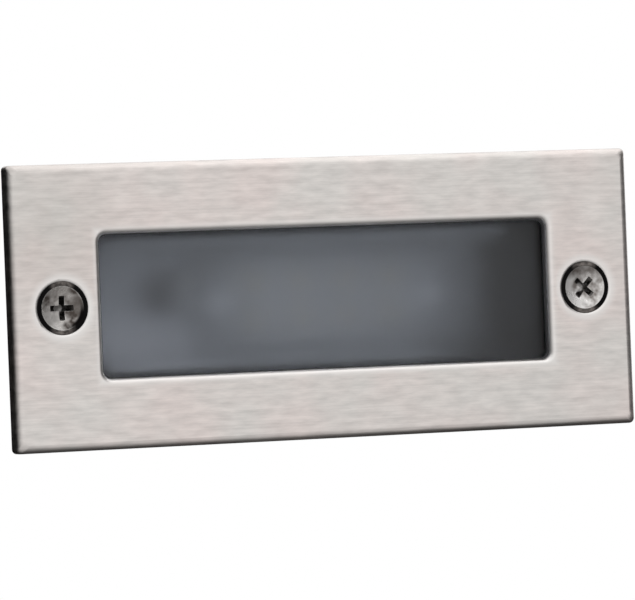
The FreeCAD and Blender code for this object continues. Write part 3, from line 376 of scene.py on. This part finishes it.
DIMPLE_RADIUS = 5.1 * MILLIMETRE


def mouth_highlight(tree, x, z):
    """Mask of the painted highlight round the window and the two dimples."""
    beside = calc(tree, "SUBTRACT", calc(tree, "ABSOLUTE", x), WINDOW_HALF_WIDTH)
    above = calc(tree, "SUBTRACT", calc(tree, "ABSOLUTE", z), WINDOW_HALF_HEIGHT)
    window = calc(tree, "MAXIMUM", beside, above)
    dimple = calc(tree, "SUBTRACT", from_nearer_screw(tree, x, z), DIMPLE_RADIUS)
    nearest = calc(tree, "MINIMUM", window, dimple)
    return soft_fade(tree, nearest, HIGHLIGHT_DEPTH, 0.0, HIGHLIGHT_REACH)


def plate_steel():
    """Brushed stainless sheet: short soft strokes, warm and cool patches, painted shade at the left top,
    rubbed edges and painted highlight round the window.
    """
    material, tree, shader = finish(
        "plate_steel", Metallic=1.0, Anisotropic=0.45, Anisotropic_Rotation=0.25)
    x, _, z = coordinates(tree)
    strokes = place_effect(tree, HAIRLINES, Line_Length=STROKE_LENGTH, Line_Width=STROKE_WIDTH)["Lines"]
    hairs = place_effect(tree, HAIRLINES, Line_Length=HAIR_LENGTH, Line_Width=HAIR_WIDTH)["Lines"]
    tone = place_effect(tree, PATCHES, Patch_Size=PLATE_PATCH)["Tone"]
    wear = place_effect(tree, RUBBED_EDGES, Edge_Width=PLATE_WORN_WIDTH)["Wear"]
    lines = weighed(tree, strokes, hairs, STROKE_SHARE)
    colour = tint(tree, tone, tint(tree, lines, *COOL_STEEL), tint(tree, lines, *WARM_STEEL))
    # Painted shade: the plate is darker towards its left top
    plate_shade = soft_fade(tree, distance(tree, x, z, *PLATE_SHADE_PLACE), PLATE_SHADE_DEPTH, 0.0, PLATE_SHADE_REACH)
    colour = tint(tree, plate_shade, colour, PLATE_SHADE_TONE)
    # Rubbed edges, and a painted highlight round the window and the dimples
    wear_and_highlight = calc(tree, "MAXIMUM", wear, mouth_highlight(tree, x, z))
    colour = tint(tree, wear_and_highlight, colour, WEAR_AND_HIGHLIGHT_TONE)
    radial = add(tree, "Tangent", direction_type="RADIAL", axis="Z").outputs["Tangent"]
    set_sockets(tree, shader, {
        "Base Color": colour, "Roughness": spread(tree, lines, *PLATE_ROUGHNESS), "Tangent": radial,
        "Normal": bumped(tree, hairs, HAIR_DEPTH)})
    return material


# Screws: tones of the two heads, their marks of use, painted shade and highlights on their faces, and the
# grime in the cross
BLOTCH_SIZE = 1.7 * MILLIMETRE
HEAD_GRAIN = 0.25 * MILLIMETRE
HEAD_GRAIN_DEPTH = 0.03 * MILLIMETRE
HEAD_WORN_WIDTH = 0.2 * MILLIMETRE
HEAD_ROUGHNESS = (0.44, 0.26)
RIGHT_HEAD_TONES = ((0.26, 0.235, 0.22, 1.0), (0.92, 0.90, 0.88, 1.0))
LEFT_HEAD_TONES = ((0.080, 0.067, 0.060, 1.0), (0.50, 0.475, 0.455, 1.0))
WORN_HEAD_TONE = (0.70, 0.68, 0.66, 1.0)

# Painted shade, darker towards the top of each screw head's face
HEAD_SHADE_TONE = (0.095, 0.078, 0.068, 1.0)
HEAD_SHADE_DEPTH = 0.68
LEFT_HEAD_SHADE_SHARE = 0.6
HEAD_SHADE_HEIGHT = (-0.6 * MILLIMETRE, 3.2 * MILLIMETRE)
HEAD_SHADE_BACK = (0.96 * MILLIMETRE, 0.8 * MILLIMETRE)

# Painted highlight on the lower left rim of the right screw's head
RIGHT_HIGHLIGHT_TONE = (0.94, 0.92, 0.90, 1.0)
RIGHT_HIGHLIGHT_SPAN = (2.0 * MILLIMETRE, 3.2 * MILLIMETRE)
RIGHT_HIGHLIGHT_SIDE = (0.5 * MILLIMETRE, -2.0 * MILLIMETRE)
RIGHT_HIGHLIGHT_HEIGHT = (2.8 * MILLIMETRE, 1.2 * MILLIMETRE)
RIGHT_HIGHLIGHT_DEPTH = 0.8

# Painted highlight at the lower left of the left screw's head
LEFT_HIGHLIGHT_TONE = (0.66, 0.64, 0.62, 1.0)
LEFT_HIGHLIGHT_SIDE = (0.8 * MILLIMETRE, -1.2 * MILLIMETRE)
LEFT_HIGHLIGHT_HEIGHT = (0.2 * MILLIMETRE, -1.2 * MILLIMETRE)
LEFT_HIGHLIGHT_DEPTH = 0.55

# Brownish darkening towards the right of the left screw's head
DARK_PATCH_TONE = (0.075, 0.062, 0.054, 1.0)
DARK_PATCH_PLACE = (3.2 * MILLIMETRE, 0.1 * MILLIMETRE)
DARK_PATCH_SPAN = (0.8 * MILLIMETRE, 2.6 * MILLIMETRE)
DARK_PATCH_DEPTH = 0.75

# Painted shadow, a near-black crescent at the lower right of the left screw's head
SHADOW_CRESCENT_TONE = (0.006, 0.005, 0.005, 1.0)
SHADOW_CRESCENT_PLACE = (-0.3 * MILLIMETRE, 0.2 * MILLIMETRE)
SHADOW_CRESCENT_SIDE = (0.2 * MILLIMETRE, 2.6 * MILLIMETRE)
SHADOW_CRESCENT_HEIGHT = (2.0 * MILLIMETRE, -1.0 * MILLIMETRE)
SHADOW_CRESCENT_SPAN = (3.6 * MILLIMETRE, 4.1 * MILLIMETRE)

GRIME_TONE = (0.020, 0.018, 0.016, 1.0)
GRIME_DULLNESS = 0.3
GRIME_BREAK_SCALE = 1500.0
GRIME_BREAK_SPAN = (0.38, 0.58)
GRIME_LEAST = 0.55
CROSS_REACH = 2.4 * MILLIMETRE
CROSS_EDGE = (CROSS_REACH, CROSS_REACH * 0.97)
CROSS_ARM = (CROSS_REACH * 0.15, CROSS_REACH * 0.5)
CROSS_MIDDLE_GRIME = 0.35
CROSS_DEPTH = (0.70 * MILLIMETRE, 1.10 * MILLIMETRE)

SHANK_TONE = (0.66, 0.65, 0.64, 1.0)
SHANK_CLEANNESS = 0.8
SHANK_START = (2.6 * MILLIMETRE, 3.12 * MILLIMETRE)


def head_corner(tree, x, z, screw_x, side, height):
    """Mask of one corner of a screw's head, eased from its start to its end across and up the head."""
    across = calc(tree, "SUBTRACT", x, screw_x)
    near = calc(tree, "LESS_THAN", calc(tree, "ABSOLUTE", across), SCREW_X)
    return product(tree, soft_step(tree, across, *side), soft_step(tree, z, *height), near)


def head_painted_shade(tree, sunk, z, on_left):
    """Mask of the painted shade on the upper half of a head's face, weaker on the left screw."""
    layer = spread(tree, z, 0.0, HEAD_SHADE_DEPTH, *HEAD_SHADE_HEIGHT)
    share = spread(tree, on_left, 1.0, LEFT_HEAD_SHADE_SHARE)
    return product(tree, step(tree, sunk, *HEAD_SHADE_BACK), layer, share)


def right_head_highlight(tree, x, z, reach):
    """Mask of the painted highlight on the left of the right screw's head, below its top."""
    corner = head_corner(tree, x, z, SCREW_X, RIGHT_HIGHLIGHT_SIDE, RIGHT_HIGHLIGHT_HEIGHT)
    return product(tree, corner, soft_step(tree, reach, *RIGHT_HIGHLIGHT_SPAN), RIGHT_HIGHLIGHT_DEPTH)


def left_head_highlight(tree, x, z):
    """Mask of the painted highlight at the lower left of the left screw's head."""
    corner = head_corner(tree, x, z, -SCREW_X, LEFT_HIGHLIGHT_SIDE, LEFT_HIGHLIGHT_HEIGHT)
    return product(tree, corner, LEFT_HIGHLIGHT_DEPTH)


def left_dark_patch(tree, x, z):
    """Mask of the brownish darkening on the right of the left screw's head."""
    across, up = DARK_PATCH_PLACE
    return soft_fade(tree, distance(tree, x, z, across - SCREW_X, up), DARK_PATCH_DEPTH, *DARK_PATCH_SPAN)


def left_painted_shadow(tree, x, z):
    """Mask of the painted shadow in a crescent at the lower right of the left screw's head."""
    across, up = SHADOW_CRESCENT_PLACE
    out = distance(tree, x, z, across - SCREW_X, up)
    corner = head_corner(tree, x, z, -SCREW_X, SHADOW_CRESCENT_SIDE, SHADOW_CRESCENT_HEIGHT)
    return product(tree, soft_step(tree, out, *SHADOW_CRESCENT_SPAN), corner)


def cross_grime(tree, vector, sunk, reach):
    """Mask of the grime down in the cross, thicker in its arms than in its middle."""
    inside = step(tree, reach, *CROSS_EDGE)
    deep = step(tree, sunk, *CROSS_DEPTH)
    arms = spread(tree, reach, CROSS_MIDDLE_GRIME, 1.0, *CROSS_ARM)
    broken = spread(tree, noise(tree, vector, GRIME_BREAK_SCALE), GRIME_LEAST, 1.0, *GRIME_BREAK_SPAN)
    return product(tree, inside, deep, arms, broken)


def screw_steel():
    """Steel screw: a blotched head with worn edges, painted shade and highlights, the left one duller,
    grime in the cross and a clean shank.
    """
    material, tree, shader = finish("screw_steel", Metallic=1.0)
    vector = place_on_piece(tree)
    x, y, z = split(tree, vector)
    sunk = calc(tree, "SUBTRACT", y, HEAD_FRONT)
    reach = from_nearer_screw(tree, x, z)
    on_left = calc(tree, "LESS_THAN", x, 0.0)
    blotches = place_effect(tree, PATCHES, Patch_Size=BLOTCH_SIZE)["Tone"]
    grain = place_effect(tree, SKIN, Grain_Size=HEAD_GRAIN)["Grain"]
    wear = place_effect(tree, RUBBED_EDGES, Edge_Width=HEAD_WORN_WIDTH)["Wear"]
    right_head = tint(tree, blotches, *RIGHT_HEAD_TONES)
    left_head = tint(tree, blotches, *LEFT_HEAD_TONES)
    grime = cross_grime(tree, vector, sunk, reach)
    colour = tint(tree, on_left, right_head, left_head)
    colour = tint(tree, wear, colour, WORN_HEAD_TONE)
    # Painted shade on the upper half of each head's face
    colour = tint(tree, head_painted_shade(tree, sunk, z, on_left), colour, HEAD_SHADE_TONE)
    # Painted highlight low on the right screw's head
    colour = tint(tree, right_head_highlight(tree, x, z, reach), colour, RIGHT_HIGHLIGHT_TONE)
    # Painted highlight low on the left screw's head
    colour = tint(tree, left_head_highlight(tree, x, z), colour, LEFT_HIGHLIGHT_TONE)
    # Darker towards the right of the left screw's head
    colour = tint(tree, left_dark_patch(tree, x, z), colour, DARK_PATCH_TONE)
    # Painted shadow in a crescent on the left screw's head
    colour = tint(tree, left_painted_shadow(tree, x, z), colour, SHADOW_CRESCENT_TONE)
    colour = tint(tree, grime, colour, GRIME_TONE)
    colour = tint(tree, spread(tree, sunk, 0.0, SHANK_CLEANNESS, *SHANK_START), colour, SHANK_TONE)
    rough = calc(tree, "ADD", spread(tree, blotches, *HEAD_ROUGHNESS), product(tree, grime, GRIME_DULLNESS))
    set_sockets(tree, shader, {
        "Base Color": colour, "Roughness": rough, "Normal": bumped(tree, grain, HEAD_GRAIN_DEPTH)})
    return material


# Glass
GLASS_PATCH = 18 * MILLIMETRE
GLASS_GRAIN = 0.3 * MILLIMETRE
GLASS_GRAIN_DEPTH = 0.008 * MILLIMETRE
GLASS_TONES = ((0.865, 0.896, 0.950, 1.0), (0.885, 0.914, 0.968, 1.0))
GLASS_ROUGHNESS = (0.40, 0.46)


def frosted_glass():
    """Acid-frosted glass with a faint blue-grey body."""
    material, tree, shader = finish("frosted_glass", Transmission_Weight=1.0, IOR=1.42)
    tone = place_effect(tree, PATCHES, Patch_Size=GLASS_PATCH)["Tone"]
    grain = place_effect(tree, SKIN, Grain_Size=GLASS_GRAIN)["Grain"]
    set_sockets(tree, shader, {
        "Base Color": tint(tree, tone, *GLASS_TONES), "Roughness": spread(tree, tone, *GLASS_ROUGHNESS),
        "Normal": bumped(tree, grain, GLASS_GRAIN_DEPTH)})
    return material


# Wall box, lamp housing and reflector
# Band of painted light on the lamp chamber's upper and lower walls
CHAMBER_HALF_HEIGHT = WINDOW_HALF_HEIGHT - 0.2 * MILLIMETRE
CHAMBER_WALL_BAND = 0.3 * MILLIMETRE
# Painted shade at the reflector's lower right corner
SHADED_CORNER_SPAN = (18 * MILLIMETRE, 37 * MILLIMETRE)
SHADED_CORNER_HEIGHT = (-8.0 * MILLIMETRE, -11.0 * MILLIMETRE)
# Painted light at the reflector's lower left corner
LIT_CORNER_SPAN = (-12 * MILLIMETRE, -30 * MILLIMETRE)
LIT_CORNER_HEIGHT = (2.0 * MILLIMETRE, -9.0 * MILLIMETRE)


def box_plastic():
    """Charcoal moulded plastic with a fine spark-eroded skin."""
    return skinned(
        "box_plastic", dark=(0.033, 0.034, 0.036, 1.0), light=(0.049, 0.050, 0.053, 1.0),
        worn=(0.16, 0.16, 0.165, 1.0), rough=(0.46, 0.62),
        grain=0.45 * MILLIMETRE, depth=0.04 * MILLIMETRE)


def chamber_walls_painted_light(tree):
    """Mask of the painted light on the lamp chamber's upper and lower walls."""
    _, y, z = coordinates(tree)
    off = calc(tree, "SUBTRACT", calc(tree, "ABSOLUTE", z), CHAMBER_HALF_HEIGHT)
    wall = calc(tree, "LESS_THAN", calc(tree, "ABSOLUTE", off), CHAMBER_WALL_BAND)
    return product(tree, wall, calc(tree, "GREATER_THAN", y, LENS_BACK))


def housing_coat():
    """Black powder coat over a die casting, with painted light on two walls of the lamp chamber."""
    coat = skinned(
        "housing_coat", dark=(0.016, 0.016, 0.018, 1.0), light=(0.034, 0.034, 0.037, 1.0),
        worn=(0.30, 0.30, 0.31, 1.0), rough=(0.48, 0.66),
        grain=0.7 * MILLIMETRE, depth=0.06 * MILLIMETRE)
    # Painted light: the chamber's upper and lower walls are lighter than the coat
    return marked(coat, chamber_walls_painted_light, (0.17, 0.175, 0.18, 1.0))


def reflector_painted_shade(tree):
    """Mask of the painted shade at the reflector's lower right corner."""
    x, _, z = coordinates(tree)
    return product(tree, soft_step(tree, x, *SHADED_CORNER_SPAN), soft_step(tree, z, *SHADED_CORNER_HEIGHT))


def reflector_painted_light(tree):
    """Mask of the painted light at the reflector's lower left corner."""
    x, _, z = coordinates(tree)
    return product(tree, soft_step(tree, x, *LIT_CORNER_SPAN), soft_step(tree, z, *LIT_CORNER_HEIGHT))


def reflector_coat():
    """Pale grey powder coat on the reflector's sheet, with painted shade at one corner and painted light at
    another.
    """
    coat = skinned(
        "reflector_coat", dark=(0.455, 0.47, 0.49, 1.0), light=(0.515, 0.53, 0.55, 1.0),
        worn=(0.70, 0.70, 0.70, 1.0), rough=(0.35, 0.50),
        grain=0.6 * MILLIMETRE, depth=0.02 * MILLIMETRE, dust=0.2)
    # Painted light at the reflector's lower left corner
    coat = marked(coat, reflector_painted_light, (0.72, 0.725, 0.745, 1.0))
    # Painted shade at the reflector's lower right corner
    return marked(coat, reflector_painted_shade, (0.06, 0.064, 0.068, 1.0))


# Seals, washers and small metal
# Painted light in the ring round each screw, lighter above and below the head
RING_LIGHT_REACH = 6.0 * MILLIMETRE
RING_LIGHT_SPAN = (0.80, 1.0)
RING_LIGHT_SCALE = 1300.0
RING_LIGHT_BREAKS = (0.35, 0.65)
RING_LIGHT_LEAST = 0.3


def ring_painted_light(tree):
    """Mask of the painted light in the ring round a screw's head, above and below it."""
    vector = place_on_piece(tree)
    x, _, z = split(tree, vector)
    reach = from_nearer_screw(tree, x, z)
    near = calc(tree, "LESS_THAN", reach, RING_LIGHT_REACH)
    ends = soft_step(tree, calc(tree, "DIVIDE", calc(tree, "ABSOLUTE", z), reach), *RING_LIGHT_SPAN)
    broken = spread(tree, noise(tree, vector, RING_LIGHT_SCALE), RING_LIGHT_LEAST, 1.0, *RING_LIGHT_BREAKS)
    return product(tree, near, ends, broken)


def black_rubber():
    """Soft black rubber with a chalky bloom, and painted light above and below the screws."""
    # Tones darker than rubber's own, painted shade for the deep ring round each screw head
    rubber = skinned(
        "black_rubber", dark=(0.0025, 0.0022, 0.0022, 1.0), light=(0.006, 0.0055, 0.0055, 1.0),
        worn=(0.022, 0.022, 0.022, 1.0), rough=(0.62, 0.82),
        grain=0.35 * MILLIMETRE, depth=0.03 * MILLIMETRE, Specular_IOR_Level=0.05)
    # Painted light, a brownish grey above and below each screw
    return marked(rubber, ring_painted_light, (0.20, 0.178, 0.165, 1.0))


def seal_silicone():
    """Dark grey silicone of the lens seal, a little glossier than rubber."""
    return skinned(
        "seal_silicone", dark=(0.050, 0.052, 0.055, 1.0), light=(0.075, 0.078, 0.082, 1.0),
        worn=(0.09, 0.09, 0.095, 1.0), rough=(0.48, 0.66),
        grain=0.3 * MILLIMETRE, depth=0.02 * MILLIMETRE, dust=0.15, Specular_IOR_Level=0.15)


def nylon():
    """Natural nylon of the push-on washers."""
    return skinned(
        "nylon", dark=(0.68, 0.66, 0.58, 1.0), light=(0.78, 0.76, 0.69, 1.0),
        worn=(0.84, 0.83, 0.78, 1.0), rough=(0.34, 0.48),
        grain=0.4 * MILLIMETRE, depth=0.02 * MILLIMETRE)


def brass():
    """Turned brass, dulled in patches."""
    return skinned(
        "brass", dark=(0.46, 0.32, 0.13, 1.0), light=(0.74, 0.55, 0.27, 1.0),
        worn=(0.86, 0.70, 0.42, 1.0), rough=(0.24, 0.40),
        grain=0.3 * MILLIMETRE, depth=0.01 * MILLIMETRE, patch=3 * MILLIMETRE, Metallic=1.0)


def zinc_steel():
    """Zinc-plated steel of the small screws, clamps and the earth tag."""
    return skinned(
        "zinc_steel", dark=(0.46, 0.47, 0.49, 1.0), light=(0.64, 0.65, 0.66, 1.0),
        worn=(0.78, 0.78, 0.79, 1.0), rough=(0.22, 0.38),
        grain=0.3 * MILLIMETRE, depth=0.01 * MILLIMETRE, patch=2 * MILLIMETRE, Metallic=1.0)


# Lamp
# Painted shade on the lamp board's left end
SHADED_END_SPAN = (-2 * MILLIMETRE, -14 * MILLIMETRE)
EMITTER_COLUMNS = 4
EMITTER_LENGTH = 3.5 * MILLIMETRE
EMITTER_WIDTH = 2.8 * MILLIMETRE
EMITTER_WINDOW = 1.05 * MILLIMETRE
EMITTER_WINDOW_EDGE = (EMITTER_WINDOW, EMITTER_WINDOW * 0.95)
EMITTER_FRONT_SLOPE = -0.5


def board_painted_shade(tree):
    """Mask of the painted shade on the lamp board's left end."""
    return soft_step(tree, coordinates(tree)["X"], *SHADED_END_SPAN)


def lamp_board():
    """Pale grey mask of the lamp board, with painted shade at one end."""
    board = skinned(
        "lamp_board", dark=(0.475, 0.49, 0.51, 1.0), light=(0.535, 0.55, 0.57, 1.0),
        worn=(0.62, 0.58, 0.46, 1.0), rough=(0.30, 0.42),
        grain=0.5 * MILLIMETRE, depth=0.01 * MILLIMETRE, dust=0.1)
    # Painted shade on the board's left end
    return marked(board, board_painted_shade, (0.36, 0.372, 0.385, 1.0))


def phosphor_window(tree):
    """Mask of the round window on the front of each emitter."""
    low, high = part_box("led_emitters")
    pitch = (high.x - low.x - EMITTER_LENGTH) / (EMITTER_COLUMNS - 1)
    start = low.x + EMITTER_LENGTH / 2 - pitch / 2
    row = high.z - EMITTER_WIDTH / 2
    x, _, z = coordinates(tree)
    along = calc(tree, "WRAP", calc(tree, "SUBTRACT", x, start), pitch, 0.0)
    out = distance(tree, along, calc(tree, "ABSOLUTE", z), pitch / 2, row)
    front = calc(tree, "LESS_THAN", facing(tree)["Y"], EMITTER_FRONT_SLOPE)
    return product(tree, step(tree, out, *EMITTER_WINDOW_EDGE), front)


def emitter():
    """Pale packages of the emitters, each with a round yellow window."""
    package = skinned(
        "emitter", dark=(0.66, 0.65, 0.60, 1.0), light=(0.74, 0.73, 0.69, 1.0),
        worn=(0.75, 0.74, 0.70, 1.0), rough=(0.30, 0.45),
        grain=0.2 * MILLIMETRE, depth=0.01 * MILLIMETRE, dust=0.0, patch=2 * MILLIMETRE)
    return marked(package, phosphor_window, (0.66, 0.55, 0.22, 1.0))


def pad_silicone():
    """Grey-pink thermal pad."""
    return skinned(
        "pad_silicone", dark=(0.46, 0.36, 0.38, 1.0), light=(0.54, 0.44, 0.46, 1.0),
        worn=(0.58, 0.50, 0.52, 1.0), rough=(0.60, 0.78),
        grain=0.4 * MILLIMETRE, depth=0.02 * MILLIMETRE, dust=0.0)


# Supply and terminals
WINDING_HALF_LENGTH = 4.21 * MILLIMETRE
STRIPE_SLOPE = 0.88
BARE_TOP_SLOPE = 0.9


def supply_plastic():
    """Pale grey plastic of the driver's case."""
    return skinned(
        "supply_plastic", dark=(0.52, 0.53, 0.53, 1.0), light=(0.62, 0.63, 0.62, 1.0),
        worn=(0.74, 0.74, 0.73, 1.0), rough=(0.40, 0.56),
        grain=0.5 * MILLIMETRE, depth=0.03 * MILLIMETRE)


def circuit_board():
    """Green mask over the driver's board."""
    return skinned(
        "circuit_board", dark=(0.020, 0.13, 0.055, 1.0), light=(0.035, 0.19, 0.08, 1.0),
        worn=(0.42, 0.40, 0.20, 1.0), rough=(0.26, 0.40),
        grain=0.6 * MILLIMETRE, depth=0.02 * MILLIMETRE, dust=0.0)


def ferrite_ends(tree):
    """Mask of the transformer's core, outside its winding."""
    low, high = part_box("driver_transformer")
    off = calc(tree, "SUBTRACT", coordinates(tree)["X"], (low.x + high.x) / 2)
    return calc(tree, "GREATER_THAN", calc(tree, "ABSOLUTE", off), WINDING_HALF_LENGTH)


def transformer_tape():
    """Yellow winding tape over a dark ferrite core."""
    tape = skinned(
        "transformer_tape", dark=(0.68, 0.50, 0.06, 1.0), light=(0.80, 0.62, 0.12, 1.0),
        worn=(0.84, 0.70, 0.28, 1.0), rough=(0.30, 0.45),
        grain=0.8 * MILLIMETRE, depth=0.04 * MILLIMETRE, dust=0.0)
    return marked(tape, ferrite_ends, (0.040, 0.040, 0.043, 1.0))


def polarity_stripe(tree):
    """Mask of a capacitor's pale stripe down one side and of its bare top."""
    normal = facing(tree)
    stripe = calc(tree, "GREATER_THAN", normal["Z"], STRIPE_SLOPE)
    return calc(tree, "MAXIMUM", stripe, calc(tree, "GREATER_THAN", normal["Y"], BARE_TOP_SLOPE))


def capacitor_sleeve():
    """Dark sleeve of the capacitors, with a pale stripe and a bare top."""
    can = skinned(
        "capacitor_sleeve", dark=(0.020, 0.022, 0.030, 1.0), light=(0.035, 0.038, 0.050, 1.0),
        worn=(0.30, 0.31, 0.33, 1.0), rough=(0.22, 0.36),
        grain=0.5 * MILLIMETRE, depth=0.01 * MILLIMETRE, dust=0.0)
    return marked(can, polarity_stripe, (0.55, 0.56, 0.57, 1.0))


def terminal_plastic():
    """Cream plastic of the terminal block."""
    return skinned(
        "terminal_plastic", dark=(0.66, 0.62, 0.52, 1.0), light=(0.76, 0.72, 0.62, 1.0),
        worn=(0.82, 0.80, 0.73, 1.0), rough=(0.36, 0.52),
        grain=0.4 * MILLIMETRE, depth=0.03 * MILLIMETRE)


# Leads
EARTH_STRIPE_SLOPE = 0.72


def sleeve(name, dark, light):
    """Soft plastic sleeve of a lead."""
    return skinned(
        name, dark=dark, light=light, worn=light, rough=(0.36, 0.50),
        grain=0.5 * MILLIMETRE, depth=0.02 * MILLIMETRE, dust=0.25, patch=4 * MILLIMETRE)


def brown_sleeve():
    """Sleeve of the live lead."""
    return sleeve("brown_sleeve", dark=(0.085, 0.034, 0.014, 1.0), light=(0.13, 0.055, 0.025, 1.0))


def blue_sleeve():
    """Sleeve of the neutral lead."""
    return sleeve("blue_sleeve", dark=(0.012, 0.075, 0.30, 1.0), light=(0.022, 0.12, 0.42, 1.0))


def earth_stripe(tree):
    """Mask of the stripe along two sides of the earth lead."""
    return calc(tree, "GREATER_THAN", calc(tree, "ABSOLUTE", facing(tree)["Z"]), EARTH_STRIPE_SLOPE)


def earth_sleeve():
    """Green sleeve of the earth lead, with its yellow stripe."""
    green = sleeve("earth_sleeve", dark=(0.035, 0.22, 0.03, 1.0), light=(0.06, 0.30, 0.05, 1.0))
    return marked(green, earth_stripe, (0.72, 0.60, 0.05, 1.0))


def white_sleeve():
    """Sleeve of the lamp's positive lead."""
    return sleeve("white_sleeve", dark=(0.42, 0.415, 0.40, 1.0), light=(0.50, 0.495, 0.48, 1.0))


def grey_sleeve():
    """Sleeve of the lamp's negative lead."""
    return sleeve("grey_sleeve", dark=(0.34, 0.345, 0.35, 1.0), light=(0.42, 0.425, 0.43, 1.0))


FINISHES = (
    plate_steel, screw_steel, frosted_glass, box_plastic, housing_coat, reflector_coat, black_rubber,
    seal_silicone, nylon, brass, zinc_steel, lamp_board, emitter, pad_silicone, supply_plastic,
    circuit_board, transformer_tape, capacitor_sleeve, terminal_plastic, brown_sleeve, blue_sleeve,
    earth_sleeve, white_sleeve, grey_sleeve,
)


def dress_frame():
    """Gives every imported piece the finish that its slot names."""
    made = {maker.__name__: maker() for maker in FINISHES}
    for piece in frame["record"]["subparts"]:
        mesh = frame["nodes"][piece["node"]].data
        mesh.materials.clear()
        mesh.materials.append(made[piece["material_slot"]])


# Studio: a pale floor, white surroundings that turn dark at the sides and below for gloss, soft lamps
SURROUND_AMBIENT = 0.62
LEFT_SHADE = (math.radians(2), math.radians(-116))
RIGHT_SHADE_RISE = (math.radians(30), math.radians(52))
RIGHT_SHADE_FALL = (math.radians(92), math.radians(128))
RIGHT_SHADE_DEPTH = 0.88
SIDE_SHADE_TOP = (math.sin(math.radians(25)), math.sin(math.radians(55)))
LOW_SHADE_END = math.radians(86)
LOW_SHADE_DEPTH = 0.95

FLOOR_TONE = (0.82, 0.82, 0.82, 1.0)
FLOOR_ROUGHNESS = 0.8
FLOOR_DROP = 0.12
FLOOR_RADIUS = 1.2
FLOOR_SIDES = 64
FLOOR_WHITENING = (0.25, 0.9)

KEY_PLACE = Vector((0.75, -0.60, 0.45))
KEY_SIZE = (0.5, 0.5)
KEY_WATTS = 3.0
TOP_PLACE = Vector((0.26, -0.06, 0.30))
TOP_SIZE = (0.54, 0.60)
TOP_WATTS = 0.34
DOWN = Vector((0.0, 0.0, -1.0))


def side_and_low_shade(tree):
    """How dark the surroundings are in a direction, from 0 to 1: at the left, at the right and below."""
    x, y, z = split(tree, add(tree, "TexCoord").outputs["Generated"])
    forward = product(tree, y, -1.0)
    turned = calc(tree, "ARCTAN2", x, forward)
    left = soft_step(tree, turned, *LEFT_SHADE)
    right_fall = soft_fade(tree, turned, RIGHT_SHADE_DEPTH, *RIGHT_SHADE_FALL)
    right = product(tree, soft_step(tree, turned, *RIGHT_SHADE_RISE), right_fall)
    level = soft_fade(tree, z, 1.0, *SIDE_SHADE_TOP)
    sides = product(tree, calc(tree, "MAXIMUM", left, right), level)
    dropped = calc(tree, "ARCTAN2", product(tree, z, -1.0), forward)
    low = spread(tree, dropped, 0.0, LOW_SHADE_DEPTH, 0.0, LOW_SHADE_END)
    return calc(tree, "MAXIMUM", sides, low)


def studio_surroundings():
    """White for the camera and through glass, shaded white for gloss, and a plain ambient level."""
    world = bpy.data.worlds.new("studio_surroundings")
    world.use_nodes = True
    bpy.context.scene.world = world
    tree = world.node_tree
    rays = add(tree, "LightPath").outputs
    direct = calc(tree, "LESS_THAN", rays["Diffuse Depth"], 0.5)
    clear = calc(tree, "MAXIMUM", rays["Is Camera Ray"], rays["Is Transmission Ray"])
    plain = spread(tree, product(tree, clear, direct), SURROUND_AMBIENT, 1.0)
    gloss = product(tree, rays["Is Glossy Ray"], direct)
    shaded = calc(tree, "SUBTRACT", 1.0, side_and_low_shade(tree))
    level = between(tree, gloss, plain, shaded)
    set_sockets(tree, tree.nodes["Background"], {"Color": WHITE, "Strength": level})


def floor_finish():
    """Pale floor that keeps the shadow near the light and turns white further out."""
    material, tree, shader = finish("pale_floor", Base_Color=FLOOR_TONE, Roughness=FLOOR_ROUGHNESS)
    x, y, _ = coordinates(tree)
    far = step(tree, distance(tree, x, y, 0.0, 0.0), *FLOOR_WHITENING)
    shown = product(tree, far, add(tree, "LightPath").outputs["Is Camera Ray"])
    glow = add(tree, "Emission", {"Color": WHITE, "Strength": 1.0}).outputs["Emission"]
    mixed = add(tree, "MixShader", {0: shown, 1: shader.outputs["BSDF"], 2: glow}).outputs["Shader"]
    set_sockets(tree, tree.nodes["Material Output"], {"Surface": mixed})
    return material


def make_floor():
    """Round floor below the light, which isn't part of it."""
    level = cad_box[0].z - FLOOR_DROP
    turns = [2 * math.pi * side / FLOOR_SIDES for side in range(FLOOR_SIDES)]
    rim = [(FLOOR_RADIUS * math.cos(turn), FLOOR_RADIUS * math.sin(turn), level) for turn in turns]
    mesh = bpy.data.meshes.new("floor")
    mesh.from_pydata(rim, [], [tuple(range(FLOOR_SIDES))])
    mesh.materials.append(floor_finish())
    floor = bpy.data.objects.new("floor", mesh)
    floor.visible_glossy = False
    bpy.context.scene.collection.objects.link(floor)


def area_lamp(name, place, aim, size, watts):
    """A soft oblong lamp that shines along its aim."""
    data = bpy.data.lights.new(name, "AREA")
    data.shape = "RECTANGLE"
    data.size, data.size_y = size
    data.energy = watts
    lamp = bpy.data.objects.new(name, data)
    lamp.location = place
    lamp.rotation_euler = aim.to_track_quat("-Z", "Y").to_euler()
    bpy.context.scene.collection.objects.link(lamp)
    return lamp


def make_lamps():
    """Key lamp from the upper right front, kept out of the gloss, and a long softbox overhead."""
    key = area_lamp("key_lamp", KEY_PLACE, FACE_MIDDLE - KEY_PLACE, KEY_SIZE, KEY_WATTS)
    key.visible_glossy = False
    area_lamp("top_lamp", TOP_PLACE, DOWN, TOP_SIZE, TOP_WATTS)


make_camera()
studio_surroundings()
make_floor()
make_lamps()
dress_frame()
bpy.context.scene.view_settings.view_transform = "Standard"
